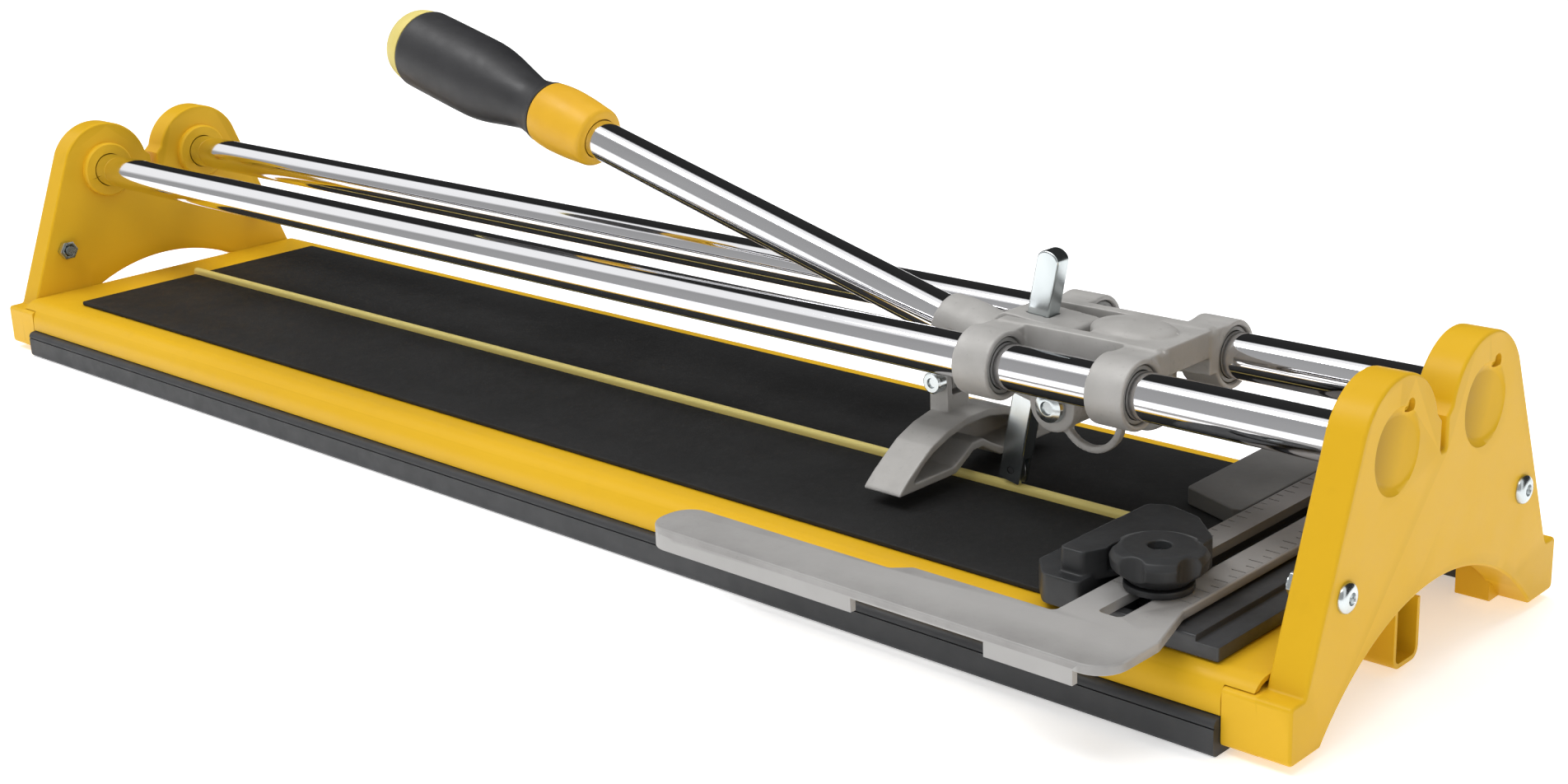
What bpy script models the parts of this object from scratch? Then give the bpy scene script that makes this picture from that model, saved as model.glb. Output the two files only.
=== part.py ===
"""Manual tile cutter with two guide rails, a pivoting handle carriage and a sliding rip guide.

Lengths are in millimetres until a mesh is made. X runs along the rails towards the fence end,
Y runs to the back, Z is up, and the floor is Z = 0. Shapes are drawn about the plane Y = 0 midway
between the rails, and the finished model is then moved along Y so that its box is centred.
"""

import math

import bmesh
import bpy
from mathutils import Matrix, Vector

MM = 0.001
GAP = 0.3  # clearance between touching pieces

# Overall size
PLATE_OUT = 365.0  # outer face of each end plate
PLATE_IN = 352.0  # inner face of each end plate
FOOT_HALF = 84.0  # half width over the foot blocks and the tray
CENTRE_SHIFT = 16.85  # puts the middle of the box, rip guide included, on Y = 0

# Guide rails
RAIL_Y = 27.4
RAIL_Z = 82.7
RAIL_R = 8.0
RAIL_END = 360.0
RAIL_WALL = 2.0

# End plates
LOBE_R = 23.5
ARCH_R = 89.0
ARCH_TOP = 33.5
NOTCH = (4.6, 1.8, 75.2)  # half width at the top and at the bottom, and the bottom's height
FOOT_BOTTOM = 2.8
FOOT_TOP = 21.5
FOOT_IN = 342.0  # inner face of each foot block
FOOT_BLOCK_Y = 60.0  # inner side of each foot block
RAIL_BOSS_R = 13.5
DISH = (14.7, 1.8)  # radius of the round recess outside each rail, and its depth at the middle
DISH_LEAN = (-0.12, 0.04)  # how fast the recess deepens along Y and Z
BOLT = (56.0, 46.5)  # Y and Z of each plate bolt
LOCK_RADIUS = 14.0  # distance of a rail's lock screw from the rail's axis
LOCK_ANGLE = math.radians(68)

# Deck
DECK_TOP = 25.3
SHEET = 1.8
FOLD_R = 9.0
SKIRT_BOTTOM = 12.5
SPINE_HALF = 8.0
SPINE_END = 356.0
SPINE_BOTTOM = 2.5
SPINE_FOLD = 4.0
STRIP_TOP = 12.2
STRIP_Y = (78.0, 87.3)
MAT_TOP = 27.3
MAT_INNER = 3.4
MAT_EDGE = 68.3
MAT_FAR = -320.0
MAT_NEAR = 286.0
RIDGE_HALF = 1.8
RIDGE_CROWN = 1.0
RIDGE_TOP = 29.1

# Fence, rip guide and clamp
FENCE_X = (288.0, 337.0)
FENCE_Y = (-78.0, 76.0)
FENCE_TOP = 32.4
FENCE_SCREWS = (("front", 333.0, -66.0), ("back", 333.0, 68.0))
ARM_BOTTOM = 32.7
ARM_TOP = 36.0
ARM_X = (290.5, 321.0)
SLOT_X = (301.0, 309.5)
SLOT_Y = (-88.0, 56.0)
GROOVE_FLOOR = 28.2
GUIDE_FRONT = -121.0
GUIDE_TIP = 139.5
LIP = 2.4
LIP_BOTTOM = 28.2
CLAMP = (305.25, -61.5)  # axis of the clamp bolt and knob
STOP_TOP = 38.5
HOOD_TOP = 46.5
KNOB_R = 15.3
KNOB_TOP = 50.0

# Carriage
BARREL_X = (214.0, 268.0)
BARREL_LONG = 14.6
BARREL_R = 12.0
BUSH_R = 9.7
BUSH_LONG = 12.6
CHEEK = (12.3, 17.0)
CARRIAGE_TOP = 95.0
PIVOT = (232.0, 67.8)  # X and Z of the handle's hinge pin
LUG_R = 9.3
STRAP = (247.0, 67.0)  # centre of the half ring under each cheek
STRAP_R = (10.5, 13.0)
PIN_HOLE_R = 3.3

# Handle: distances along the tube run from HANDLE_END towards the grip
HANDLE_TILT = math.radians(14.2)
HANDLE_END = (165.8, 87.1)  # X and Z of a point on the tube's axis, just outside its socket
SOCKET = (-44.0, -8.0)
SOCKET_R = 10.4
TUBE_R = 8.0
TUBE_WALL = 1.8
TUBE_START = -31.0
TUBE_PIN = -18.0
COLLAR = (177.5, 208.5)
GRIP_END = 291.0
CAP_END = 304.0

# Scoring wheel and stem
STEM_LEAN = math.radians(12.0)
STEM_FOOT = (202.4, 30.4)  # X and Z of the middle of the stem's lower end
STEM_SIZE = (9.0, 7.0)
STEM_LONG = 88.5
STEM_STEP = 12.0  # length of the narrow lower end
SET_SCREW = 52.0  # distance of the set screw up the stem
WHEEL_R = 5.0
WHEEL_Z = 34.5
AXLE_R = 1.2

# Breaker foot
FOOT_X = (170.5, 187.0)
FOOT_NECK_X = (169.7, 178.1)
FOOT_PIVOT = (173.9, 63.2)
FOOT_NECK_HALF = 6.2
FORK_HALF = 3.3
FOOT_BOLT_R = 2.4

ROUND = 32  # sides of a rail, a bush or a tube
SMALL = 16  # sides of a bolt or a pin
TINY = 12  # sides of a small screw
HEX = 6


# ---------------------------------------------------------------- helpers


def clear_scene():
    for obj in list(bpy.data.objects):
        bpy.data.objects.remove(obj, do_unlink=True)


def material(name, colour, roughness, metallic=0.0):
    mat = bpy.data.materials.get(name)
    if mat is None:
        mat = bpy.data.materials.new(name)
        mat.use_nodes = True
        shader = mat.node_tree.nodes["Principled BSDF"]
        shader.inputs["Base Color"].default_value = (*colour, 1.0)
        shader.inputs["Roughness"].default_value = roughness
        shader.inputs["Metallic"].default_value = metallic
    return mat


def yellow_paint():
    return material("yellow paint", (0.86, 0.52, 0.05), 0.4)


def pale_yellow():
    return material("pale yellow plastic", (0.80, 0.68, 0.25), 0.5)


def black_rubber():
    return material("black rubber", (0.02, 0.02, 0.022), 0.85)


def black_plastic():
    return material("black plastic", (0.03, 0.03, 0.032), 0.5)


def dark_plastic():
    return material("dark grey plastic", (0.10, 0.10, 0.10), 0.6)


def light_plastic():
    return material("light grey plastic", (0.55, 0.55, 0.54), 0.5)


def grey_casting():
    return material("grey casting", (0.45, 0.44, 0.42), 0.5, 0.4)


def chrome_plate():
    return material("chrome", (0.75, 0.76, 0.78), 0.1, 1.0)


def zinc_plate():
    return material("zinc plate", (0.60, 0.63, 0.64), 0.3, 1.0)


def hard_steel():
    return material("hard steel", (0.35, 0.35, 0.36), 0.25, 1.0)


def grey_nylon():
    return material("nylon", (0.20, 0.198, 0.19), 0.5)


def to_mesh(name, bm):
    """A mesh in metres from a bmesh drawn in millimetres."""
    bmesh.ops.recalc_face_normals(bm, faces=bm.faces)
    bmesh.ops.scale(bm, vec=(MM, MM, MM), verts=bm.verts)
    mesh = bpy.data.meshes.new(name)
    bm.to_mesh(mesh)
    bm.free()
    mesh.shade_smooth()
    mesh.set_sharp_from_angle(angle=math.radians(35))
    return mesh


def add(name, bm, mat):
    obj = bpy.data.objects.new(name, to_mesh(name, bm))
    obj.data.materials.append(mat)
    bpy.context.scene.collection.objects.link(obj)
    return obj


def helper(obj, bm):
    """A hidden object for a Boolean on obj, which moves with obj."""
    other = bpy.data.objects.new(obj.name + "_helper", to_mesh(obj.name + "_helper", bm))
    bpy.context.scene.collection.objects.link(other)
    other.hide_render = True
    other.display_type = "WIRE"
    other.parent = obj
    return other


def boolean(obj, operation, *shapes):
    for bm in shapes:
        modifier = obj.modifiers.new(operation.lower(), "BOOLEAN")
        modifier.operation = operation
        modifier.solver = "EXACT"
        modifier.object = helper(obj, bm)
    return obj


def cut(obj, *shapes):
    return boolean(obj, "DIFFERENCE", *shapes)


def unite(obj, *shapes):
    return boolean(obj, "UNION", *shapes)


def bevel(obj, width, segments=1, angle=40):
    modifier = obj.modifiers.new("bevel", "BEVEL")
    modifier.width = width * MM
    modifier.segments = segments
    modifier.limit_method = "ANGLE"
    modifier.angle_limit = math.radians(angle)
    return obj


def box(x, y, z):
    """A box between the pairs x, y and z."""
    bm = bmesh.new()
    bmesh.ops.create_cube(bm, size=1.0)
    for vert in bm.verts:
        vert.co = Vector(pair[0] if c < 0 else pair[1] for pair, c in zip((x, y, z), vert.co))
    return bm


def prism(outline, low, high, axis="X"):
    """An outline extruded along an axis. It lies in YZ for X, in XZ for Y and in XY for Z."""
    place = {
        "X": lambda a, b, t: (t, a, b),
        "Y": lambda a, b, t: (a, t, b),
        "Z": lambda a, b, t: (a, b, t),
    }[axis]
    bm = bmesh.new()
    ends = [[bm.verts.new(place(a, b, t)) for a, b in outline] for t in (low, high)]
    bm.faces.new(ends[0])
    bm.faces.new(reversed(ends[1]))
    count = len(outline)
    for i in range(count):
        j = (i + 1) % count
        bm.faces.new((ends[0][i], ends[1][i], ends[1][j], ends[0][j]))
    return bm


def arc(centre, radius, start, end, steps):
    """Points on an arc, angles in degrees from the outline's first axis."""
    points = []
    for i in range(steps + 1):
        angle = math.radians(start + (end - start) * i / steps)
        points.append((centre[0] + radius * math.cos(angle), centre[1] + radius * math.sin(angle)))
    return points


def rounded(corners, radii, steps=4):
    """A polygon with each corner rounded to its radius."""
    points = []
    count = len(corners)
    for i in range(count):
        corner = Vector(corners[i])
        before = (Vector(corners[i - 1]) - corner).normalized()
        after = (Vector(corners[(i + 1) % count]) - corner).normalized()
        radius = radii[i] if isinstance(radii, (list, tuple)) else radii
        half = before.angle(after) / 2
        reach = radius / math.tan(half)
        centre = corner + (before + after).normalized() * radius / math.sin(half)
        first = corner + before * reach - centre
        last = corner + after * reach - centre
        turn = first.angle_signed(last)
        for k in range(steps + 1):
            spoke = first.copy()
            spoke.rotate(Matrix.Rotation(-turn * k / steps, 2))
            points.append(tuple(centre + spoke))
    return points


def mirrored(half):
    """A closed outline from a half one that starts on the mirror line."""
    return half + [(-a, b) for a, b in reversed(half) if a > 0]


def turned(profile, sides, origin=(0, 0, 0), direction=(0, 0, 1)):
    """A solid of revolution. The profile lists (distance along direction, radius)."""
    axis = Vector(direction).normalized()
    turn = axis.to_track_quat("Z", "Y").to_matrix().to_4x4()
    move = Matrix.Translation(Vector(origin)) @ turn
    bm = bmesh.new()
    rings = []
    for along, radius in profile:
        if radius == 0:
            rings.append([bm.verts.new(move @ Vector((0, 0, along)))])
            continue
        ring = []
        for i in range(sides):
            angle = 2 * math.pi * i / sides
            point = Vector((radius * math.cos(angle), radius * math.sin(angle), along))
            ring.append(bm.verts.new(move @ point))
        rings.append(ring)
    closed = len(rings[0]) > 1 and profile[0] == profile[-1]
    if closed:
        for vert in rings.pop():
            bm.verts.remove(vert)
        rings.append(rings[0])
    for low, high in zip(rings, rings[1:]):
        for i in range(sides):
            j = (i + 1) % sides
            corners = [low[i % len(low)], low[j % len(low)], high[j % len(high)], high[i % len(high)]]
            bm.faces.new(list(dict.fromkeys(corners)))
    if not closed:
        for ring in (rings[0], rings[-1]):
            if len(ring) > 1:
                bm.faces.new(ring)
    return bm


def rod(start, end, radius, sides=SMALL):
    """A plain cylinder between two points."""
    start, end = Vector(start), Vector(end)
    return turned([(0, radius), ((end - start).length, radius)], sides, start, end - start)


def rod_along_y(place, radius, sides=SMALL, reach=30.0):
    """A cylinder across the part, through X and Z of place."""
    return rod((place[0], -reach, place[1]), (place[0], reach, place[1]), radius, sides)


def pipe(start, end, outer, inner, sides=ROUND):
    """A hollow cylinder between two points."""
    start, end = Vector(start), Vector(end)
    long = (end - start).length
    profile = [(0, inner), (0, outer), (long, outer), (long, inner), (0, inner)]
    return turned(profile, sides, start, end - start)


# ---------------------------------------------------------------- base


def skirt_side(half, radius, top, sign):
    """One side of the folded tray's outline, from the skirt's lower edge to the fold's top."""
    centre = (sign * (half - radius), top - radius)
    turn = arc(centre, radius, 0, 90, 5) if sign > 0 else arc(centre, radius, 180, 90, 5)
    return [(sign * half, SKIRT_BOTTOM)] + turn


def base_tray():
    outside = skirt_side(FOOT_HALF, FOLD_R, DECK_TOP, -1)
    outside += reversed(skirt_side(FOOT_HALF, FOLD_R, DECK_TOP, 1))
    half, under = FOOT_HALF - SHEET, DECK_TOP - SHEET
    inside = skirt_side(half, FOLD_R - SHEET, under, 1)
    inside += reversed(skirt_side(half, FOLD_R - SHEET, under, -1))
    end = PLATE_IN - GAP
    past = 5.0
    tray = add("base_tray", prism(outside + inside, -end, end), yellow_paint())
    for side in (-1, 1):
        for end_sign in (-1, 1):
            x = sorted((end_sign * (FOOT_IN - GAP), end_sign * (PLATE_IN + past)))
            y = sorted((side * (FOOT_BLOCK_Y - past), side * (FOOT_HALF + past)))
            cut(tray, box(x, y, (FOOT_BOTTOM, FOOT_TOP + GAP)))
    for _, x, y in FENCE_SCREWS:
        cut(tray, rod((x, y, under - past), (x, y, DECK_TOP + past), 2.3, TINY))
    return tray


def centre_spine():
    """An upturned channel under the tray, from end plate to end plate."""
    top = DECK_TOP - SHEET - GAP
    outer = arc((SPINE_HALF - SPINE_FOLD, SPINE_BOTTOM + SPINE_FOLD), SPINE_FOLD, 270, 360, 3)
    outer.append((SPINE_HALF, top))
    fold = SPINE_FOLD - SHEET
    inner = arc((SPINE_HALF - SPINE_FOLD, SPINE_BOTTOM + SPINE_FOLD), fold, 270, 360, 3)
    inner.append((SPINE_HALF - SHEET, top))
    outline = outer + inner[::-1]
    outline += [(-y, z) for y, z in inner] + [(-y, z) for y, z in outer[::-1]]
    return add("centre_spine", prism(outline, -SPINE_END, SPINE_END), yellow_paint())


def deck_surface():
    floor = DECK_TOP + GAP / 2
    for name, side in (("mat_front", -1), ("mat_back", 1)):
        y = sorted((side * MAT_INNER, side * MAT_EDGE))
        mat = add(name, box((MAT_FAR, MAT_NEAR), y, (floor, MAT_TOP)), black_rubber())
        bevel(mat, 0.4)
    half = [(0.0, RIDGE_TOP), (RIDGE_CROWN, RIDGE_TOP), (RIDGE_HALF, RIDGE_TOP - 0.8), (RIDGE_HALF, floor)]
    add("breaking_ridge", prism(mirrored(half), MAT_FAR - 4, MAT_NEAR), pale_yellow())


def foot_strips():
    end = FOOT_IN - GAP
    inner, outer = STRIP_Y
    for name, side in (("foot_strip_front", -1), ("foot_strip_back", 1)):
        corners = [(side * inner, 0), (side * outer, 0), (side * outer, STRIP_TOP), (side * inner, STRIP_TOP)]
        outline = rounded(corners, [0.8, 1.5, 2.0, 0.8], 2)
        add(name, prism(outline, -end, end), black_rubber())


def plate_outline():
    """Half of an end plate from the arch's middle, out to the foot block and up round the lobe."""
    arch = (0.0, ARCH_TOP - ARCH_R)
    foot_angle = math.degrees(math.asin((FOOT_BOTTOM - arch[1]) / ARCH_R))
    half = arc(arch, ARCH_R, 90, foot_angle, 9)
    half += [(FOOT_HALF, FOOT_BOTTOM), (FOOT_HALF, FOOT_TOP), (FOOT_HALF - 7.5, FOOT_TOP)]
    notch_top, notch_bottom, notch_z = NOTCH
    inner_angle = math.degrees(math.acos((notch_top - RAIL_Y) / LOBE_R))
    half += arc((RAIL_Y, RAIL_Z), LOBE_R, 27, inner_angle, 12)
    half += [(notch_bottom, RAIL_Z + 3), (notch_bottom, notch_z)]
    return half


def lock_place(side):
    """Y and Z of a rail's lock screw, on the rim of the round recess."""
    return side * RAIL_Y + LOCK_RADIUS * math.cos(LOCK_ANGLE), RAIL_Z + LOCK_RADIUS * math.sin(LOCK_ANGLE)


def end_plate(name, sign):
    half = plate_outline()
    outline = half + [(-y, z) for y, z in reversed(half[1:])]
    x = sorted((sign * PLATE_IN, sign * PLATE_OUT))
    plate = add(name, prism(outline, *x), yellow_paint())
    dish_r, dish_deep = DISH
    past = 3.0
    joined, cuts = [], []
    for side in (-1, 1):
        foot_x = sorted((sign * FOOT_IN, sign * (PLATE_IN + 1)))
        foot_y = sorted((side * FOOT_BLOCK_Y, side * FOOT_HALF))
        joined.append(box(foot_x, foot_y, (FOOT_BOTTOM, FOOT_TOP)))
        rail = (side * RAIL_Y, RAIL_Z)
        joined.append(rod((sign * (PLATE_IN + 1), *rail), (sign * (PLATE_IN - past), *rail), RAIL_BOSS_R, 24))
        bore_end = sign * (RAIL_END + GAP)
        cuts.append(rod((sign * (PLATE_IN - 2 * past), *rail), (bore_end, *rail), RAIL_R + GAP, ROUND))
        dish = turned([(0, dish_r), (2 * past, dish_r)], 24, (sign * (PLATE_OUT - dish_deep), *rail),
                      (sign, *DISH_LEAN))
        cuts.append(dish)
        bolt = (side * BOLT[0], BOLT[1])
        cuts.append(rod((sign * (PLATE_IN - past), *bolt), (sign * (PLATE_OUT + past), *bolt), 2.8))
        lock = lock_place(side)
        cuts.append(rod((sign * (PLATE_OUT - 5), *lock), (sign * (PLATE_OUT + past), *lock), 2.3, TINY))
    unite(plate, *joined)
    cut(plate, *cuts)
    return plate


def rail(name, side):
    ends = (-RAIL_END, side * RAIL_Y, RAIL_Z), (RAIL_END, side * RAIL_Y, RAIL_Z)
    return add(name, pipe(*ends, RAIL_R, RAIL_R - RAIL_WALL), chrome_plate())


def plate_fasteners(end_name, sign):
    """The bolt, nut and lock screw at each rail of one end plate."""
    head, shank_r = 2.2, 2.4
    face = PLATE_OUT + GAP
    tip = head + face - PLATE_IN + 5.5
    profile = [(0, 0), (0, 3.2), (0.9, 4.6), (head, 4.8), (head, shank_r), (tip, shank_r), (tip, 0)]
    for side_name, side in (("front", -1), ("back", 1)):
        place = (side * BOLT[0], BOLT[1])
        bolt = turned(profile, SMALL, (sign * (face + head), *place), (-sign, 0, 0))
        add(f"plate_bolt_{end_name}_{side_name}", bolt, zinc_plate())
        inner = PLATE_IN - GAP
        nut = pipe((sign * inner, *place), (sign * (inner - 3.6), *place), 4.9, 3.1, HEX)
        add(f"plate_nut_{end_name}_{side_name}", nut, zinc_plate())
        lock = lock_place(side)
        screw = rod((sign * (PLATE_OUT - 4.6), *lock), (sign * (PLATE_OUT - 1.6), *lock), 2.0, TINY)
        add(f"rail_lock_screw_{end_name}_{side_name}", screw, zinc_plate())


def fence():
    """The black channel piece under the rip guide's arms, its screws and the plate behind them."""
    base = add("fence_base", box(FENCE_X, FENCE_Y, (DECK_TOP + GAP, FENCE_TOP)), black_plastic())
    groove = (SLOT_X[0] - LIP, SLOT_X[1] + LIP)
    cut(base, box(groove, (-74.0, 60.0), (GROOVE_FLOOR, FENCE_TOP + 5)))
    cut(base, box((329.0, 345.0), (-90.0, 90.0), (30.4, FENCE_TOP + 5)))
    seat = DECK_TOP - SHEET - GAP
    profile = [(0, 0), (0, 3.0), (0.6, 3.8), (2.0, 3.8), (2.0, 2.0), (7.8, 2.0), (7.8, 0)]
    for name, x, y in FENCE_SCREWS:
        cut(base, rod((x, y, DECK_TOP - 2), (x, y, 29.3), 2.3, TINY))
        add("fence_screw_" + name, turned(profile, TINY, (x, y, seat - 2.0)), zinc_plate())
    corners = [(260.5, 22.0), (284.0, 13.5), (287.0, 15.0), (287.0, 76.0), (259.6, 76.0)]
    outline = rounded(corners, [2.5, 1.5, 1.0, 2.0, 2.0], 2)
    plate = add("fence_rear_plate", prism(outline, MAT_TOP + GAP, 34.0, "Z"), dark_plastic())
    bevel(plate, 0.8)


# ---------------------------------------------------------------- rip guide and clamp


def rip_guide():
    """Two arms over the fence, joined at the front by a plate that reaches out as a long wing."""
    left, right = ARM_X
    panel = [
        (GUIDE_TIP, GUIDE_FRONT), (328.0, GUIDE_FRONT), (328.0, -95.0), (right, -72.0), (right, 62.0),
        (left, 62.0), (left, -95.0), (236.0, -95.0), (230.0, -100.0), (GUIDE_TIP, -100.0),
    ]
    radii = [9.0, 10.0, 5.0, 4.0, 2.0, 2.0, 2.0, 3.0, 3.0, 9.0]
    guide = add("rip_guide", prism(rounded(panel, radii, 3), ARM_BOTTOM, ARM_TOP, "Z"), light_plastic())
    slot = rounded([(x, y) for y in SLOT_Y for x in SLOT_X[:: 1 if y < 0 else -1]], 2.0, 2)
    cut(guide, prism(slot, ARM_BOTTOM - 5, ARM_TOP + 5, "Z"))
    tip = (GUIDE_TIP + 9.0, GUIDE_FRONT + 9.0)
    for x in ((tip[0], 232.0), (284.0, 316.0)):
        unite(guide, box(x, (GUIDE_FRONT, GUIDE_FRONT + LIP), (LIP_BOTTOM, ARM_BOTTOM + 1)))
    curl = arc(tip, 9.0, 180, 271, 5) + arc(tip, 9.0 - LIP, 271, 180, 5)
    unite(guide, prism(curl, LIP_BOTTOM, ARM_BOTTOM + 1, "Z"))
    return guide


def angle_stop():
    """The block over the deck, and the hood on it that reaches over the arms to seat the knob."""
    corners = [(266.0, -70.0), (274.0, -79.0), (287.4, -79.0), (287.4, -10.0), (268.0, -10.0)]
    outline = rounded(corners, [4.0, 5.0, 2.0, 2.0, 9.0], 4)
    block = add("angle_stop", prism(outline, MAT_TOP + 1.2, ARM_TOP, "Z"), black_plastic())
    hollow = rounded([(274.0, -67.0), (284.0, -72.0), (284.0, -44.0), (279.5, -44.0)], 1.5, 2)
    cut(block, prism(hollow, MAT_TOP, ARM_TOP - 2, "Z"))
    base = ARM_TOP + GAP
    hood = add("clamp_hood", prism(outline, base, STOP_TOP, "Z"), black_plastic())
    corners = [
        (277.0, -74.0), (277.3, -27.0), (284.0, -23.5), (297.0, -27.0), (310.0, -39.0), (312.0, -58.0),
        (292.0, -60.0), (285.5, -74.0),
    ]
    cover = rounded(corners, [1.5, 4.0, 5.0, 5.0, 4.0, 1.5, 1.5, 1.5], 3)
    unite(hood, prism(cover, base, HOOD_TOP, "Z"), rod((*CLAMP, base), (*CLAMP, STOP_TOP + 0.4), 11.0, 24))
    cut(hood, rod((*CLAMP, STOP_TOP), (*CLAMP, HOOD_TOP + 5), KNOB_R + 1.3, ROUND))
    cut(hood, rod((*CLAMP, ARM_BOTTOM), (*CLAMP, HOOD_TOP + 5), 4.0))
    return hood


def clamp():
    """The bolt through the arms' slot, and the lobed knob on it."""
    shank = 3.4
    profile = [(0, 0), (0, 6.0), (2.6, 6.0), (2.6, shank), (18.5, shank), (18.5, 0)]
    add("clamp_bolt", turned(profile, SMALL, (*CLAMP, GROOVE_FLOOR + 0.6)), zinc_plate())
    lower = STOP_TOP + GAP
    bore = shank + GAP
    high = KNOB_TOP - lower
    profile = [(0, bore), (0, 9.5), (2.0, 11.5), (4.5, KNOB_R - 0.5), (high - 3.0, KNOB_R)]
    profile += [(high - 1.0, KNOB_R - 1.2), (high, KNOB_R - 4.0), (high, bore), (0, bore)]
    knob = add("clamp_knob", turned(profile, ROUND, (*CLAMP, lower)), black_plastic())
    lobes = 5
    for i in range(lobes):
        angle = math.radians(-90) + 2 * math.pi * i / lobes
        centre = (CLAMP[0] + 19.0 * math.cos(angle), CLAMP[1] + 19.0 * math.sin(angle))
        cut(knob, rod((*centre, lower - 1), (*centre, KNOB_TOP + 5), 6.5))
    return knob


# ---------------------------------------------------------------- carriage


def dome(centre, base, radii, height):
    """A low oval dome on a flat base."""
    steps = 4
    profile = [(-3.0, 1.0)]
    for i in range(steps + 1):
        angle = math.pi / 2 * i / steps
        profile.append((height * math.sin(angle), math.cos(angle) if i < steps else 0))
    bm = turned(profile, 24)
    bmesh.ops.scale(bm, vec=(*radii, 1.0), verts=bm.verts)
    bmesh.ops.translate(bm, vec=(*centre, base), verts=bm.verts)
    return bm


def carriage_body():
    """Two cheeks with pivot lugs, a bridge between them, and a barrel at each corner for the rails."""
    half_long = BARREL_LONG / 2
    low, high = BARREL_X[0] - half_long, BARREL_X[1] + half_long
    bridge_x, bridge_under = 243.0, 85.0
    bridge_y = CHEEK[0] + 1.0
    bridge = box((bridge_x, high - 0.6), (-bridge_y, bridge_y), (bridge_under, CARRIAGE_TOP - 0.4))
    body = add("carriage_body", bridge, grey_casting())
    cheek = [(low, 79.0), (PIVOT[0] - LUG_R, 77.0)] + arc(PIVOT, LUG_R, 180, 360, 10)
    cheek += [(PIVOT[0] + LUG_R, 77.0), (high, 79.0), (high, 93.0), (high - 2, CARRIAGE_TOP)]
    cheek += [(low + 3, CARRIAGE_TOP), (low, 92.0)]
    inner, outer = STRAP_R
    strap = arc(STRAP, outer, 205, 360, 10) + [(STRAP[0] + outer, 81.0), (STRAP[0] + inner, 81.0)]
    strap += arc(STRAP, inner, 360, 205, 10)
    joined = [dome((254.0, -1.0), CARRIAGE_TOP - 0.6, (16.0, 11.0), 4.0)]
    bores = []
    for side in (-1, 1):
        joined.append(prism(cheek, *sorted((side * CHEEK[0], side * CHEEK[1])), "Y"))
        joined.append(prism(strap, *sorted((side * (CHEEK[0] + 0.9), side * (CHEEK[1] - 0.9))), "Y"))
        for x in BARREL_X:
            web_x = (x - half_long + 0.5, x + half_long - 0.5)
            web_y = sorted((side * (CHEEK[1] - 1.5), side * (RAIL_Y + 1)))
            joined.append(box(web_x, web_y, (83.0, 94.2)))
            rail_line = (side * RAIL_Y, RAIL_Z)
            joined.append(rod((x - half_long, *rail_line), (x + half_long, *rail_line), BARREL_R, 24))
            ends = (x - BARREL_LONG, *rail_line), (x + BARREL_LONG, *rail_line)
            bores.append(rod(*ends, BUSH_R + GAP, ROUND))
    unite(body, *joined)
    cut(body, *bores, rod_along_y(PIVOT, PIN_HOLE_R))
    return body


def rail_bushes():
    for side_name, side in (("front", -1), ("back", 1)):
        for end_name, x in zip(("far", "near"), BARREL_X):
            points = [(x + along, side * RAIL_Y, RAIL_Z) for along in (-BUSH_LONG / 2, BUSH_LONG / 2)]
            bush = pipe(*points, BUSH_R, RAIL_R + GAP)
            add(f"rail_bush_{side_name}_{end_name}", bush, grey_nylon())


def pivot_hardware():
    x, z = PIVOT
    face = CHEEK[1] + GAP
    head, shank_r = 2.8, 3.0
    tip = head + 2 * face + 5
    profile = [(0, 0), (0, 3.6), (0.8, 5.2), (head, 5.8), (head, shank_r), (tip, shank_r), (tip, 0)]
    add("pivot_bolt", turned(profile, SMALL, (x, -face - head, z), (0, 1, 0)), zinc_plate())
    add("pivot_nut", pipe((x, face, z), (x, face + 4, z), 5.8, 3.8, HEX), zinc_plate())


# ---------------------------------------------------------------- handle


def along_handle(distance):
    """X and Z of a point on the tube's axis."""
    x, z = HANDLE_END
    return x - distance * math.cos(HANDLE_TILT), z + distance * math.sin(HANDLE_TILT)


def handle_point(distance):
    x, z = along_handle(distance)
    return x, 0.0, z


def handle_turned(name, profile, mat, sides=24):
    """A piece turned about the tube, with the profile in (distance along the handle, radius)."""
    direction = (-math.cos(HANDLE_TILT), 0.0, math.sin(HANDLE_TILT))
    return add(name, turned(profile, sides, handle_point(0), direction), mat)


def stem_point(along, across=0.0):
    """X and Z of a point on the wheel stem, measured up from its lower end."""
    c, s = math.cos(STEM_LEAN), math.sin(STEM_LEAN)
    return STEM_FOOT[0] + along * s + across * c, STEM_FOOT[1] + along * c - across * s


def stem_band(low, high, grow):
    """The outline of a length of the stem, grown sideways."""
    half = STEM_SIZE[0] / 2 + grow
    return [stem_point(low, -half), stem_point(low, half), stem_point(high, half), stem_point(high, -half)]


def stem_outline():
    """The whole stem's outline, with its rounded top."""
    half, crown, steps = STEM_SIZE[0] / 2, 3.6, 6
    points = [stem_point(0, -half), stem_point(0, half)]
    for i in range(steps + 1):
        angle = math.pi * i / steps
        points.append(stem_point(STEM_LONG - crown + crown * math.sin(angle), half * math.cos(angle)))
    return points


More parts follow.
